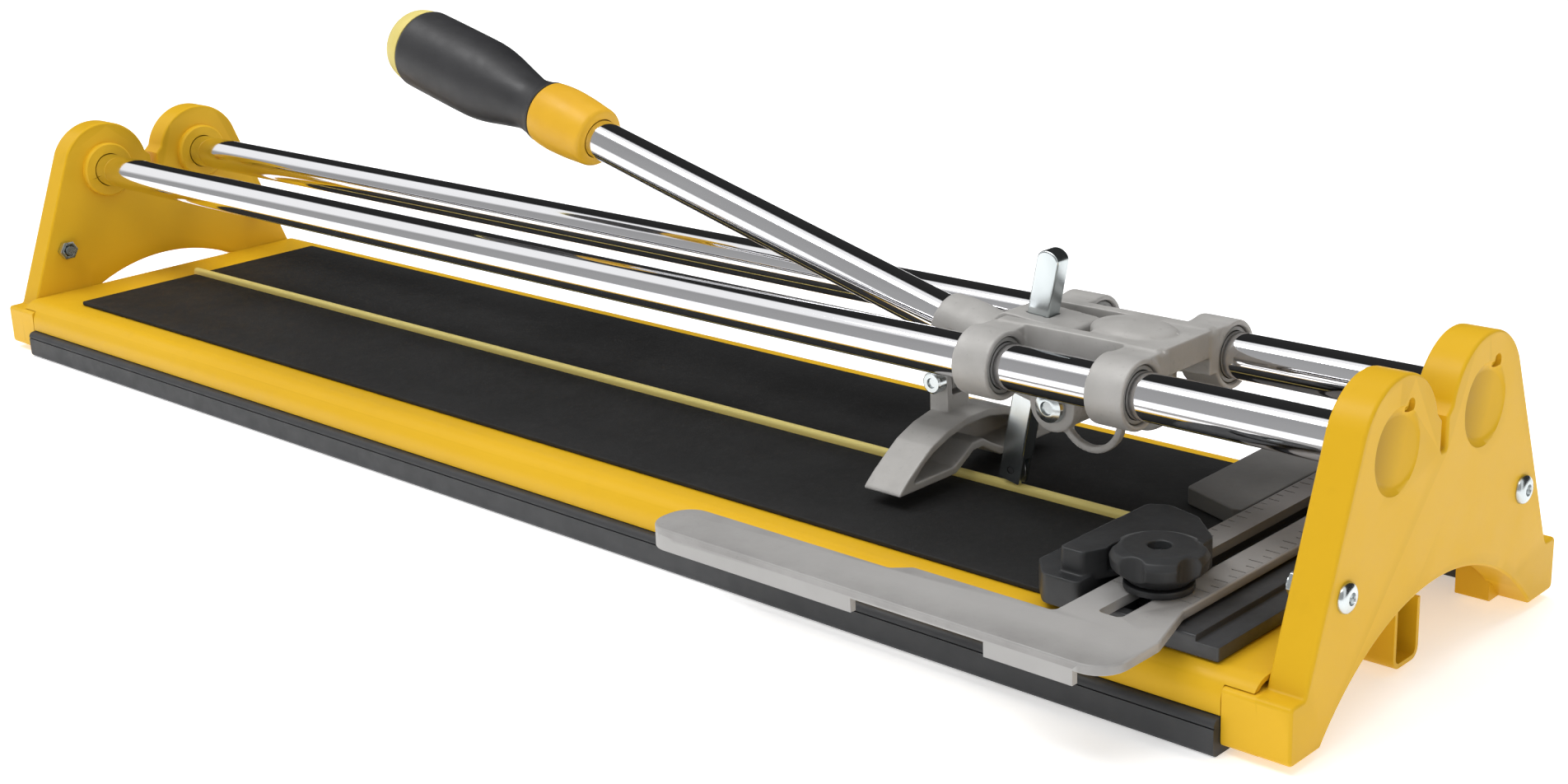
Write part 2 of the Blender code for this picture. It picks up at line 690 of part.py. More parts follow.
def handle_casting():
    """The tube's socket, the block round the stem, the pivot hub and the lug for the breaker foot."""
    half_y = STEM_SIZE[1] / 2 + GAP
    socket = rod(handle_point(SOCKET[0]), handle_point(SOCKET[1]), SOCKET_R, 24)
    casting = add("handle_casting", socket, grey_casting())
    corners = [(198.0, 69.0), (226.0, 62.5), (236.0, 76.0), (234.0, 93.0), (205.0, 95.0), (190.0, 80.0)]
    block = rounded(corners, [4.0, 3.0, 3.0, 2.0, 6.0, 6.0], 2)
    hub_half = CHEEK[0] - GAP - 0.2
    hub = rod_along_y(PIVOT, LUG_R - 0.5, 24, hub_half)
    lug = arc(FOOT_PIVOT, 4.6, 180, 340, 8) + [(183.0, 72.0), (184.0, 80.0), (174.5, 80.0), (169.4, 70.0)]
    lug_half = FORK_HALF - 0.5
    unite(casting, prism(block, -9.4, 9.4, "Y"), hub, prism(lug, -lug_half, lug_half, "Y"))
    stem_hole = prism(stem_band(-10.0, STEM_LONG + 10, GAP), -half_y, half_y, "Y")
    tube_hole = rod(handle_point(TUBE_START - 1), handle_point(10), TUBE_R + GAP, ROUND)
    pin_hole = rod_along_y(PIVOT, PIN_HOLE_R)
    cross_hole = rod_along_y(along_handle(TUBE_PIN), 2.0, TINY)
    foot_hole = rod_along_y(FOOT_PIVOT, FOOT_BOLT_R + GAP, TINY)
    x, z = stem_point(SET_SCREW)
    set_hole = rod((x + 3.6, 0, z), (x + 30, 0, z), 2.3, TINY)
    cut(casting, stem_hole, tube_hole, pin_hole, cross_hole, foot_hole, set_hole)
    screw = rod((x + STEM_SIZE[0] / 2 + 1.2, 0, z), (x + 13.0, 0, z), 2.0, TINY)
    add("stem_set_screw", screw, zinc_plate())
    return casting


def handle_tube_and_grip():
    tube = pipe(handle_point(TUBE_START), handle_point(GRIP_END - 8), TUBE_R, TUBE_R - TUBE_WALL)
    handle_tube = add("handle_tube", tube, chrome_plate())
    cross = along_handle(TUBE_PIN)
    cut(handle_tube, rod_along_y(cross, 2.0, TINY))
    add("tube_pin", rod_along_y(cross, 1.7, TINY, SOCKET_R - 0.4), zinc_plate())
    bore = TUBE_R + GAP
    start, end = COLLAR
    collar = [(start, bore), (start, 11.2), (start + 1.2, 12.2), (start + 8, 12.9), (start + 14, 13.5)]
    collar += [(start + 21, 13.8), (start + 27, 13.6), (end, 13.1), (end, bore), (start, bore)]
    handle_turned("grip_collar", collar, yellow_paint())
    start = end + GAP
    grip = [(start, bore), (start, 13.0), (start + 4, 12.0), (start + 10.5, 11.3), (start + 17, 12.4)]
    grip += [(start + 24, 14.0), (start + 32, 15.7), (start + 39, 16.8), (start + 48, 17.2)]
    grip += [(GRIP_END - 5, 17.2), (GRIP_END, 16.7), (GRIP_END, bore)]
    handle_turned("grip_sleeve", grip + [(start, bore)], black_rubber())
    cap = [(GRIP_END - 7, 0), (GRIP_END - 7, TUBE_R), (GRIP_END + GAP, TUBE_R), (GRIP_END + GAP, 16.4)]
    cap += [(CAP_END - 6, 15.4), (CAP_END - 2.5, 12.5), (CAP_END - 0.6, 8.5), (CAP_END, 4.0), (CAP_END, 0)]
    handle_turned("grip_cap", cap, pale_yellow())


def wheel_and_stem():
    half_y = STEM_SIZE[1] / 2
    past = 5.0
    stem = add("wheel_stem", prism(stem_outline(), -half_y, half_y, "Y"), zinc_plate())
    slot = prism(stem_band(-past, STEM_STEP - 2, past), -1.1, 1.1, "Y")
    shoulders = []
    for side in (-1, 1):
        y = sorted((side * (half_y - 0.9), side * (half_y + past)))
        shoulders.append(prism(stem_band(-past, STEM_STEP, past), *y, "Y"))
    x, _ = stem_point((WHEEL_Z - STEM_FOOT[1]) / math.cos(STEM_LEAN))
    cut(stem, slot, *shoulders, rod_along_y((x, WHEEL_Z), AXLE_R + GAP, TINY))
    add("wheel_axle", rod_along_y((x, WHEEL_Z), AXLE_R, TINY, half_y - 1.0), hard_steel())
    bore, flank, half = AXLE_R + GAP, 3.4, 0.7
    profile = [(-half, bore), (-half, flank), (0, WHEEL_R), (half, flank), (half, bore), (-half, bore)]
    wheel = add("scoring_wheel", turned(profile, 24, (0, 0, 0), (0, 1, 0)), hard_steel())
    wheel.location = Vector((x, 0, WHEEL_Z)) * MM


def breaker_foot():
    """A winged foot, hinged on a fork, whose tips press on both halves of the tile."""
    pivot_x, pivot_z = FOOT_PIVOT

    def placed(half):
        return [(y, z - pivot_z) for y, z in mirrored(half)]

    shell = [
        (0.0, 52.0), (7.0, 52.0), (17.0, 50.0), (26.0, 46.5), (33.0, 42.0), (39.0, 37.8), (43.0, 34.5),
        (44.0, 33.5), (44.0, 32.5), (13.0, 32.5), (6.0, 36.5), (2.6, 38.5), (0.0, 38.5),
    ]
    shell_x = [x - pivot_x for x in FOOT_X]
    foot = add("breaker_foot", prism(placed(shell), *shell_x), grey_casting())
    neck_x = [x - pivot_x for x in FOOT_NECK_X]
    neck_low = 46.0 - pivot_z
    ear_r = neck_x[1]
    ear = arc((0, 0), ear_r, 0, 180, 8) + [(neck_x[0], neck_low), (neck_x[1], neck_low)]
    unite(foot, prism(ear, -FOOT_NECK_HALF, FOOT_NECK_HALF, "Y"))
    pocket = [
        (0.0, 49.0), (7.0, 48.8), (16.0, 47.0), (25.0, 43.8), (31.5, 40.0), (36.5, 35.4), (14.0, 35.4),
        (7.5, 38.8), (3.0, 41.5), (0.0, 41.5),
    ]
    cut(foot, prism(placed(pocket), shell_x[0] + 2.5, shell_x[1] + 5))
    cut(foot, box((-15.0, 15.0), (-FORK_HALF, FORK_HALF), (-5.4, 15.0)))
    cut(foot, rod_along_y((0, 0), FOOT_BOLT_R + GAP, TINY))
    foot.location = Vector((pivot_x, 0, pivot_z)) * MM
    face = FOOT_NECK_HALF + GAP
    head, nut = 3.8, 3.4
    tip = head + 2 * face + nut + 1.2
    profile = [(0, 0), (0, 3.4), (0.6, 4.1), (head, 4.1), (head, FOOT_BOLT_R), (tip, FOOT_BOLT_R), (tip, 0)]
    add("foot_bolt", turned(profile, SMALL, (pivot_x, -face - head, pivot_z), (0, 1, 0)), zinc_plate())
    ends = (pivot_x, face, pivot_z), (pivot_x, face + nut, pivot_z)
    add("foot_nut", pipe(*ends, 4.4, 3.1, HEX), zinc_plate())


# ---------------------------------------------------------------- assembly


def main():
    clear_scene()
    base_tray()
    centre_spine()
    deck_surface()
    foot_strips()
    for name, sign in (("far", -1), ("near", 1)):
        end_plate("end_plate_" + name, sign)
        plate_fasteners(name, sign)
    rail("rail_front", -1)
    rail("rail_back", 1)
    fence()
    rip_guide()
    angle_stop()
    clamp()
    carriage_body()
    rail_bushes()
    pivot_hardware()
    handle_casting()
    handle_tube_and_grip()
    wheel_and_stem()
    breaker_foot()
    for obj in bpy.context.scene.objects:
        if obj.parent is None:
            obj.location.y += CENTRE_SHIFT * MM


main()
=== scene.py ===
import math

import bmesh
import bpy
from mathutils import Matrix, Vector


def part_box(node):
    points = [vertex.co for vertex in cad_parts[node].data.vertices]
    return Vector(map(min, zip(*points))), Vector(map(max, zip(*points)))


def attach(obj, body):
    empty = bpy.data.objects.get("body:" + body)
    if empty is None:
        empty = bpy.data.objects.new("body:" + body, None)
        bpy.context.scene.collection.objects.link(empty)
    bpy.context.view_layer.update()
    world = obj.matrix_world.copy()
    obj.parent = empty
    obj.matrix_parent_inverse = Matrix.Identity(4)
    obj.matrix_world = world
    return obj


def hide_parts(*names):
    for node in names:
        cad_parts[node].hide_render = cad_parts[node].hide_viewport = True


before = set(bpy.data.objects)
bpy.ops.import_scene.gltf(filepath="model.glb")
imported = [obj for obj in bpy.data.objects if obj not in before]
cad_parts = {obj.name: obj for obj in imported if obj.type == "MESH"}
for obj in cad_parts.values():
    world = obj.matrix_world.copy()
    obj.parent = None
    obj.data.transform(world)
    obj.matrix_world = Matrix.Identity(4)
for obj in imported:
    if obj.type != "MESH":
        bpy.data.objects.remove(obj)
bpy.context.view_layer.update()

# Lengths are in millimetres, drawn about the plane Y = 0 midway between the rails, until a mesh is made.
MM = 0.001
GAP = 0.3
CENTRE = (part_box("rail_front")[0].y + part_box("rail_back")[1].y) / 2 / MM
RAIL_Y, RAIL_Z, RAIL_R = 27.4, 82.7, 8.0
PLATE_IN, PLATE_OUT = 352.0, 365.0
FOOT_IN, FOOT_HALF, FOOT_BOTTOM, FOOT_TOP = 342.0, 84.0, 2.8, 21.5
LOBE_R, ARCH_R, ARCH_TOP = 23.5, 89.0, 33.5
DECK_TOP, SHEET = 25.3, 1.8
MAT_FAR, MAT_NEAR, MAT_INNER, MAT_EDGE, MAT_TOP = -320.0, 286.0, 3.4, 68.3, 27.3
BOLT = (56.0, 46.5)
RECESS_R, RECESS_TILT = 14.7, (-0.12, 0.04)
# Painted shade in the end plates' round recesses: the depths below the outer face where it begins and where
# it is full, the radii where it fades out, and the depths behind the face where it stops.
RECESS_SHADE_DEPTH, RECESS_SHADE_R, RECESS_SHADE_BACK = (1.3, 3.4), (14.6, 15.4), (5.0, 5.5)
LOCK = (14.0 * math.cos(math.radians(68)), 14.0 * math.sin(math.radians(68)))
FENCE_SCREWS = (("front", 333.0, -66.0), ("back", 333.0, 68.0))
ARM_X, SLOT_X, SLOT_Y = (290.5, 321.0), (301.0, 309.5), (-88.0, 56.0)
ARM_BOTTOM, ARM_TOP = 32.7, 36.0
GUIDE_FRONT, GUIDE_TIP, LIP = -121.0, 139.5, 2.4
MARKS, MARK_FIRST, MARK_STEP = 26, -66.0, 5.0
CLAMP = (305.25, -61.5)
STOP_TOP, HOOD_TOP, KNOB_TOP, KNOB_R = 38.5, 46.5, 50.0, 15.3
SCOOPS, SCOOP_OUT, SCOOP_R = 5, 19.0, 6.5
BARREL_X, BARREL_LONG, BARREL_R = (214.0, 268.0), 14.6, 12.0
CHEEK = (12.3, 17.0)
CARRIAGE_TOP = 95.0
PIVOT, LUG_R = (232.0, 67.8), 9.3
STRAP, STRAP_R = (247.0, 67.0), (10.5, 13.0)
TILT = math.radians(14.2)
HANDLE_END = (165.8, 87.1)
HANDLE_WAY = (-math.cos(TILT), 0.0, math.sin(TILT))
TUBE_PIN = -18.0
STEM_LEAN = math.radians(12.0)
STEM_FOOT, STEM_SIZE, STEM_LONG = (202.4, 30.4), (9.0, 7.0), 88.5
WHEEL = (STEM_FOOT[0] + 4.1 * math.tan(STEM_LEAN), 0.0, 34.5)
FOOT_PIVOT, FOOT_X, FOOT_NECK_X = (173.9, 63.2), (170.5, 187.0), (169.7, 178.1)
ROUND = 64


# ---------------------------------------------------------------- meshes


def to_mesh(name, bm):
    bmesh.ops.recalc_face_normals(bm, faces=bm.faces)
    bmesh.ops.translate(bm, vec=(0, CENTRE, 0), verts=bm.verts)
    bmesh.ops.scale(bm, vec=(MM, MM, MM), verts=bm.verts)
    mesh = bpy.data.meshes.new(name)
    bm.to_mesh(mesh)
    bm.free()
    return mesh


def start(name, bm):
    obj = bpy.data.objects.new(name, to_mesh(name, bm))
    bpy.context.scene.collection.objects.link(obj)
    return obj


def apply(obj):
    """Replaces an object's mesh with what its modifiers make of it."""
    graph = bpy.context.evaluated_depsgraph_get()
    mesh = bpy.data.meshes.new_from_object(obj.evaluated_get(graph))
    mesh.validate()
    obj.modifiers.clear()
    obj.data = mesh


def boolean(obj, operation, shapes):
    helpers = []
    for bm in shapes:
        other = start("helper", bm)
        modifier = obj.modifiers.new("boolean", "BOOLEAN")
        modifier.operation = operation
        modifier.object = other
        helpers.append(other)
    apply(obj)
    for other in helpers:
        bpy.data.objects.remove(other, do_unlink=True)
    return obj


def cut(obj, *shapes):
    return boolean(obj, "DIFFERENCE", shapes)


def unite(obj, *shapes):
    return boolean(obj, "UNION", shapes)


def bevel(obj, width, segments=2, angle=35):
    modifier = obj.modifiers.new("bevel", "BEVEL")
    modifier.width = width * MM
    modifier.segments = segments
    modifier.limit_method = "ANGLE"
    modifier.angle_limit = math.radians(angle)
    apply(obj)
    return obj


def cast(obj, voxel=0.45, smooth=6):
    """Rounds every edge and fillets every corner, as a casting or moulding has them."""
    modifier = obj.modifiers.new("remesh", "REMESH")
    modifier.mode = "VOXEL"
    modifier.voxel_size = voxel * MM
    modifier.use_smooth_shade = True
    modifier = obj.modifiers.new("smooth", "SMOOTH")
    modifier.factor = 0.5
    modifier.iterations = smooth
    apply(obj)
    obj.data.shade_smooth()
    return obj


def done(obj, mat, body, *nodes, sharp=35, slot=None):
    """Finishes a piece: its material, shading, the body it moves with and the nodes it stands for."""
    obj.data.materials.clear()
    obj.data.materials.append(mat)
    if sharp:
        obj.data.shade_smooth()
        obj.data.set_sharp_from_angle(angle=math.radians(sharp))
        modifier = obj.modifiers.new("flat faces", "WEIGHTED_NORMAL")
        modifier.keep_sharp = True
    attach(obj, body)
    if nodes:
        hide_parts(*nodes)
    return obj


def box(x, y, z):
    bm = bmesh.new()
    bmesh.ops.create_cube(bm, size=1.0)
    for vert in bm.verts:
        vert.co = Vector(pair[0] if c < 0 else pair[1] for pair, c in zip((x, y, z), vert.co))
    return bm


def prism(outline, low, high, axis="X"):
    """An outline extruded along an axis. It lies in YZ for X, in XZ for Y and in XY for Z."""
    place = {
        "X": lambda a, b, t: (t, a, b),
        "Y": lambda a, b, t: (a, t, b),
        "Z": lambda a, b, t: (a, b, t),
    }[axis]
    bm = bmesh.new()
    ends = [[bm.verts.new(place(a, b, t)) for a, b in outline] for t in (low, high)]
    bm.faces.new(ends[0])
    bm.faces.new(reversed(ends[1]))
    count = len(outline)
    for i in range(count):
        j = (i + 1) % count
        bm.faces.new((ends[0][i], ends[1][i], ends[1][j], ends[0][j]))
    return bm


def arc(centre, radius, first, last, steps):
    points = []
    for i in range(steps + 1):
        angle = math.radians(first + (last - first) * i / steps)
        points.append((centre[0] + radius * math.cos(angle), centre[1] + radius * math.sin(angle)))
    return points


def rounded(corners, radii, steps=6):
    """A polygon with each corner rounded to its radius."""
    points = []
    count = len(corners)
    for i in range(count):
        corner = Vector(corners[i])
        before = (Vector(corners[i - 1]) - corner).normalized()
        after = (Vector(corners[(i + 1) % count]) - corner).normalized()
        radius = radii[i] if isinstance(radii, (list, tuple)) else radii
        if radius <= 0:
            points.append(tuple(corner))
            continue
        half = before.angle(after) / 2
        reach = radius / math.tan(half)
        centre = corner + (before + after).normalized() * radius / math.sin(half)
        spoke = corner + before * reach - centre
        turn = spoke.angle_signed(corner + after * reach - centre)
        for k in range(steps + 1):
            turned_spoke = spoke.copy()
            turned_spoke.rotate(Matrix.Rotation(-turn * k / steps, 2))
            points.append(tuple(centre + turned_spoke))
    return points


def turned(profile, sides=ROUND, origin=(0, 0, 0), direction=(0, 0, 1)):
    """A solid of revolution. The profile lists (distance along direction, radius)."""
    axis = Vector(direction).normalized()
    move = Matrix.Translation(Vector(origin)) @ axis.to_track_quat("Z", "Y").to_matrix().to_4x4()
    bm = bmesh.new()
    rings = []
    for along, radius in profile:
        if radius == 0:
            rings.append([bm.verts.new(move @ Vector((0, 0, along)))])
            continue
        ring = []
        for i in range(sides):
            angle = 2 * math.pi * i / sides
            spot = Vector((radius * math.cos(angle), radius * math.sin(angle), along))
            ring.append(bm.verts.new(move @ spot))
        rings.append(ring)
    closed = len(rings[0]) > 1 and profile[0] == profile[-1]
    if closed:
        for vert in rings.pop():
            bm.verts.remove(vert)
        rings.append(rings[0])
    for low, high in zip(rings, rings[1:]):
        for i in range(sides):
            j = (i + 1) % sides
            corners = [low[i % len(low)], low[j % len(low)], high[j % len(high)], high[i % len(high)]]
            bm.faces.new(list(dict.fromkeys(corners)))
    if not closed:
        for ring in (rings[0], rings[-1]):
            if len(ring) > 1:
                bm.faces.new(ring)
    return bm


def rod(first, last, radius, sides=32):
    first, last = Vector(first), Vector(last)
    return turned([(0, radius), ((last - first).length, radius)], sides, first, last - first)


def across(place, radius, sides=32, reach=30.0):
    """A cylinder along Y, through X and Z of place."""
    return rod((place[0], -reach, place[1]), (place[0], reach, place[1]), radius, sides)


def mirrored(half):
    """A closed outline from a half one that starts on the mirror line."""
    return half + [(-a, b) for a, b in reversed(half) if a > 0]


def pipe(first, last, outer, inner, sides=ROUND, edge=0.3):
    """A hollow cylinder with its outer edges broken."""
    first, last = Vector(first), Vector(last)
    long = (last - first).length
    profile = [(0, inner), (0, outer - edge), (edge, outer), (long - edge, outer), (long, outer - edge)]
    profile += [(long, inner), (0, inner)]
    return turned(profile, sides, first, last - first)


def smooth_profile(points, steps=8):
    """A Catmull-Rom curve through (distance, radius) points."""
    curve = []
    for i in range(len(points) - 1):
        p0, p1, p2, p3 = (Vector(points[max(0, min(len(points) - 1, i + k))]) for k in (-1, 0, 1, 2))
        for k in range(steps):
            t = k / steps
            bend = (2 * p0 - 5 * p1 + 4 * p2 - p3) * t ** 2
            twist = (3 * p1 - p0 - 3 * p2 + p3) * t ** 3
            curve.append(tuple(0.5 * (2 * p1 + (p2 - p0) * t + bend + twist)))
    curve.append(tuple(points[-1]))
    return curve


# ---------------------------------------------------------------- materials


class Surface:
    """A Principled material with noise for its colour, roughness and bump, in the object's own space."""

    def __init__(self, name, metallic=0.0, coat=0.0, coat_roughness=0.1, specular=0.5):
        self.mat = bpy.data.materials.new(name)
        self.mat.use_nodes = True
        self.nodes = self.mat.node_tree.nodes
        self.links = self.mat.node_tree.links
        self.shader = self.nodes["Principled BSDF"]
        self.shader.inputs["Metallic"].default_value = metallic
        self.shader.inputs["Coat Weight"].default_value = coat
        self.shader.inputs["Coat Roughness"].default_value = coat_roughness
        self.shader.inputs["Specular IOR Level"].default_value = specular
        self.place = self.nodes.new("ShaderNodeTexCoord").outputs["Object"]

    def stretched(self, scale):
        """The object's coordinates, stretched: a low scale makes streaks along that axis."""
        mapping = self.nodes.new("ShaderNodeMapping")
        mapping.inputs["Scale"].default_value = scale
        self.links.new(self.place, mapping.inputs["Vector"])
        return mapping.outputs["Vector"]

    def noise(self, scale, detail=3.0, rough=0.55, place=None):
        node = self.nodes.new("ShaderNodeTexNoise")
        node.inputs["Scale"].default_value = scale
        node.inputs["Detail"].default_value = detail
        node.inputs["Roughness"].default_value = rough
        self.links.new(place or self.place, node.inputs["Vector"])
        return node.outputs["Fac"]

    def remap(self, value, low, high, to_low=0.0, to_high=1.0):
        node = self.nodes.new("ShaderNodeMapRange")
        for key, number in zip(("From Min", "From Max", "To Min", "To Max"), (low, high, to_low, to_high)):
            node.inputs[key].default_value = number
        self.links.new(value, node.inputs["Value"])
        return node.outputs["Result"]

    def mix(self, factor, first, second):
        node = self.nodes.new("ShaderNodeMix")
        node.data_type = "RGBA"
        self.links.new(factor, node.inputs["Factor"])
        for socket, value in ((node.inputs[6], first), (node.inputs[7], second)):
            if isinstance(value, tuple):
                socket.default_value = (*value, 1.0)
            else:
                self.links.new(value, socket)
        return node.outputs[2]

    def colour(self, value):
        self.links.new(value, self.shader.inputs["Base Color"])
        return self

    def rough(self, value):
        self.links.new(value, self.shader.inputs["Roughness"])
        return self

    def bump(self, height, strength, distance):
        """Adds a bump over any earlier one."""
        node = self.nodes.new("ShaderNodeBump")
        node.inputs["Strength"].default_value = strength
        node.inputs["Distance"].default_value = distance * MM
        self.links.new(height, node.inputs["Height"])
        before = self.shader.inputs["Normal"].links
        if before:
            self.links.new(before[0].from_socket, node.inputs["Normal"])
        self.links.new(node.outputs["Normal"], self.shader.inputs["Normal"])
        return self

    def arithmetic(self, operation, first, second=0.0):
        """A math node: one operation on two sockets or numbers."""
        node = self.nodes.new("ShaderNodeMath")
        node.operation = operation
        for socket, value in zip(node.inputs, (first, second)):
            if isinstance(value, float):
                socket.default_value = value
            else:
                self.links.new(value, socket)
        return node.outputs["Value"]

    def along_axes(self):
        """The object's X, Y and Z, as sockets."""
        node = self.nodes.new("ShaderNodeSeparateXYZ")
        self.links.new(self.place, node.inputs["Vector"])
        return node.outputs["X"], node.outputs["Y"], node.outputs["Z"]

    def plate_recess_shade(self):
        """How deep a point is in the round recesses of the end plates' outer faces, from 0 to 1: the mask of
        the painted shade there.
        """
        x, y, z = self.along_axes()
        out = self.arithmetic("ABSOLUTE", x)
        shallow, deepest = RECESS_SHADE_DEPTH
        deep = self.remap(out, (PLATE_OUT - deepest) * MM, (PLATE_OUT - shallow) * MM, 1.0, 0.0)
        outside = self.remap(out, (PLATE_OUT - RECESS_SHADE_BACK[1]) * MM, (PLATE_OUT - RECESS_SHADE_BACK[0]) * MM)
        side = self.arithmetic("ABSOLUTE", self.arithmetic("SUBTRACT", y, CENTRE * MM))
        across = self.arithmetic("POWER", self.arithmetic("SUBTRACT", side, RAIL_Y * MM), 2.0)
        up = self.arithmetic("POWER", self.arithmetic("SUBTRACT", z, RAIL_Z * MM), 2.0)
        radius = self.arithmetic("SQRT", self.arithmetic("ADD", across, up))
        ring = self.remap(radius, RECESS_SHADE_R[0] * MM, RECESS_SHADE_R[1] * MM, 1.0, 0.0)
        return self.arithmetic("MULTIPLY", self.arithmetic("MULTIPLY", deep, outside), ring)

    def edges(self, low=0.51, high=0.56):
        """1 along outer edges, 0 elsewhere."""
        return self.remap(self.nodes.new("ShaderNodeNewGeometry").outputs["Pointiness"], low, high)


def scaled(colour, factor, lift=0.0):
    """A colour made lighter or darker."""
    return tuple(min(1.0, c * factor + lift) for c in colour)


def painted(name, light, deep):
    """Smooth paint: a faint orange-peel skin, slight shifts of tone, lighter edges, and painted shade in the
    round recesses of the end plates.
    """
    s = Surface(name, coat=0.04, coat_roughness=0.25, specular=0.14)
    tone = s.mix(s.remap(s.noise(9.0, 4.0), 0.35, 0.68), deep, light)
    tone = s.mix(s.remap(s.noise(70.0, 3.0), 0.60, 0.78, 0.0, 0.25), tone, scaled(deep, 0.8))
    # Painted shade: the round recesses in the end plates' outer faces darken to a deeper yellow.
    tone = s.mix(s.plate_recess_shade(), tone, scaled(deep, 0.58))
    s.colour(s.mix(s.edges(0.515, 0.60), tone, scaled(light, 1.05, 0.006)))
    s.rough(s.remap(s.noise(60.0, 3.0), 0.3, 0.7, 0.34, 0.46))
    return s.bump(s.noise(420.0, 2.0), 0.16, 0.12).mat


def moulded(name, light, deep, roughness=(0.42, 0.58), grain=900.0, depth=0.1, specular=0.45):
    """Moulded plastic or rubber with a fine grain, and edges rubbed a little lighter."""
    s = Surface(name, specular=specular)
    tone = s.mix(s.remap(s.noise(26.0, 4.0), 0.35, 0.68), deep, light)
    s.colour(s.mix(s.edges(0.515, 0.60), tone, scaled(light, 1.25, 0.006)))
    s.rough(s.remap(s.noise(130.0, 3.0), 0.3, 0.7, *roughness))
    return s.bump(s.noise(grain, 3.0), 0.35, depth).mat


def casting(name, light, deep, rubbed=1.25, fade=None):
    """Die-cast metal as it leaves the mould: a dull skin with fine pits and brighter rubbed edges.

    fade is (first Y, last Y, colour): the casting darkens to that colour between the two.
    """
    s = Surface(name, metallic=0.2, specular=0.4)
    tone = s.mix(s.remap(s.noise(40.0, 5.0, 0.6), 0.32, 0.7), deep, light)
    tone = s.mix(s.remap(s.noise(500.0, 2.0), 0.62, 0.8, 0.0, 0.35), tone, scaled(deep, 0.6))
    tone = s.mix(s.edges(0.52, 0.60), tone, scaled(light, rubbed, 0.02))
    if fade:
        first, last, dull = fade
        tone = s.mix(s.remap(s.along_axes()[1], first * MM, last * MM), tone, dull)
    s.colour(tone)
    s.rough(s.remap(s.noise(120.0, 3.0), 0.3, 0.7, 0.45, 0.62))
    return s.bump(s.noise(650.0, 4.0), 0.3, 0.12).mat


def plated(name, light, deep, roughness, streak):
    """Plated metal: bright, with a faint haze and fine marks along the given stretch."""
    s = Surface(name, metallic=1.0)
    marks = s.noise(60.0, 5.0, place=s.stretched(streak))
    s.colour(s.mix(s.remap(marks, 0.35, 0.7), light, deep))
    s.rough(s.remap(s.noise(30.0, 4.0, place=s.stretched(streak)), 0.3, 0.75, *roughness))
    return s.bump(s.noise(300.0, 2.0, place=s.stretched(streak)), 0.05, 0.02).mat


YELLOW = painted("yellow_paint", (0.69, 0.405, 0.014), (0.635, 0.365, 0.010))
YELLOW_GRIP = moulded(
    "yellow_plastic", (0.76, 0.43, 0.026), (0.66, 0.36, 0.016), (0.36, 0.48), 500.0, 0.04, specular=0.3
)
PALE = moulded("pale_yellow_plastic", (0.74, 0.62, 0.20), (0.64, 0.53, 0.15), (0.4, 0.55), 500.0, 0.05)
MAT = moulded("black_mat", (0.016, 0.016, 0.016), (0.010, 0.010, 0.010), (0.62, 0.8), 700.0, 0.25, 0.25)
GRIP = moulded("black_grip", (0.034, 0.034, 0.036), (0.022, 0.022, 0.024), (0.42, 0.55), 800.0, 0.08)
STRIP = moulded("black_strip", (0.022, 0.023, 0.025), (0.014, 0.014, 0.016), (0.5, 0.65), 500.0, 0.1)
BLACK = moulded("black_plastic", (0.026, 0.027, 0.029), (0.016, 0.017, 0.018), (0.4, 0.55), 700.0, 0.08)
DARK = moulded("dark_plastic", (0.105, 0.102, 0.098), (0.072, 0.070, 0.067), (0.55, 0.7), 500.0, 0.15)
GUIDE_FADE = (-75.0, 55.0, (0.15, 0.14, 0.135))
LIGHT = casting("light_casting", (0.36, 0.352, 0.344), (0.27, 0.263, 0.256), 1.03, GUIDE_FADE)
CAST = casting("grey_casting", (0.46, 0.45, 0.435), (0.37, 0.36, 0.345))
CHROME = plated("chrome", (0.86, 0.86, 0.88), (0.78, 0.78, 0.80), (0.05, 0.11), (0.02, 1.0, 1.0))
ZINC = plated("zinc", (0.66, 0.70, 0.71), (0.50, 0.55, 0.56), (0.18, 0.34), (1.0, 1.0, 0.2))
STEEL = plated("hard_steel", (0.50, 0.50, 0.51), (0.38, 0.38, 0.39), (0.18, 0.3), (1.0, 0.1, 1.0))
# The rail bushes are real nylon parts. Their dark grey is painted shade for the shadowed gap between barrel
# and rail.
SHADED_NYLON = moulded("nylon", (0.20, 0.198, 0.19), (0.14, 0.138, 0.13), (0.4, 0.5), 500.0, 0.05)


# ---------------------------------------------------------------- base


def skirt_side(half, radius, top, sign, steps=10):
    centre = (sign * (half - radius), top - radius)
    turn = arc(centre, radius, 0, 90, steps) if sign > 0 else arc(centre, radius, 180, 90, steps)
    return [(sign * half, 12.5)] + turn


def base_tray():
    outside = skirt_side(FOOT_HALF, 9.0, DECK_TOP, -1)
    outside += reversed(skirt_side(FOOT_HALF, 9.0, DECK_TOP, 1))
    inside = skirt_side(FOOT_HALF - SHEET, 9.0 - SHEET, DECK_TOP - SHEET, 1)
    inside += reversed(skirt_side(FOOT_HALF - SHEET, 9.0 - SHEET, DECK_TOP - SHEET, -1))
    end = PLATE_IN - GAP
    tray = start("tray", prism(outside + inside, -end, end))
    cuts = []
    for side in (-1, 1):
        for end_sign in (-1, 1):
            x = sorted((end_sign * (FOOT_IN - GAP), end_sign * (PLATE_IN + 5)))
            y = sorted((side * 55.0, side * (FOOT_HALF + 5)))
            cuts.append(box(x, y, (FOOT_BOTTOM, FOOT_TOP + GAP)))
    for _, x, y in FENCE_SCREWS:
        cuts.append(rod((x, y, DECK_TOP - 6), (x, y, DECK_TOP + 4), 2.3, 24))
    cut(tray, *cuts)
    bevel(tray, 0.35, 2, 50)
    done(tray, YELLOW, "base", "base_tray")


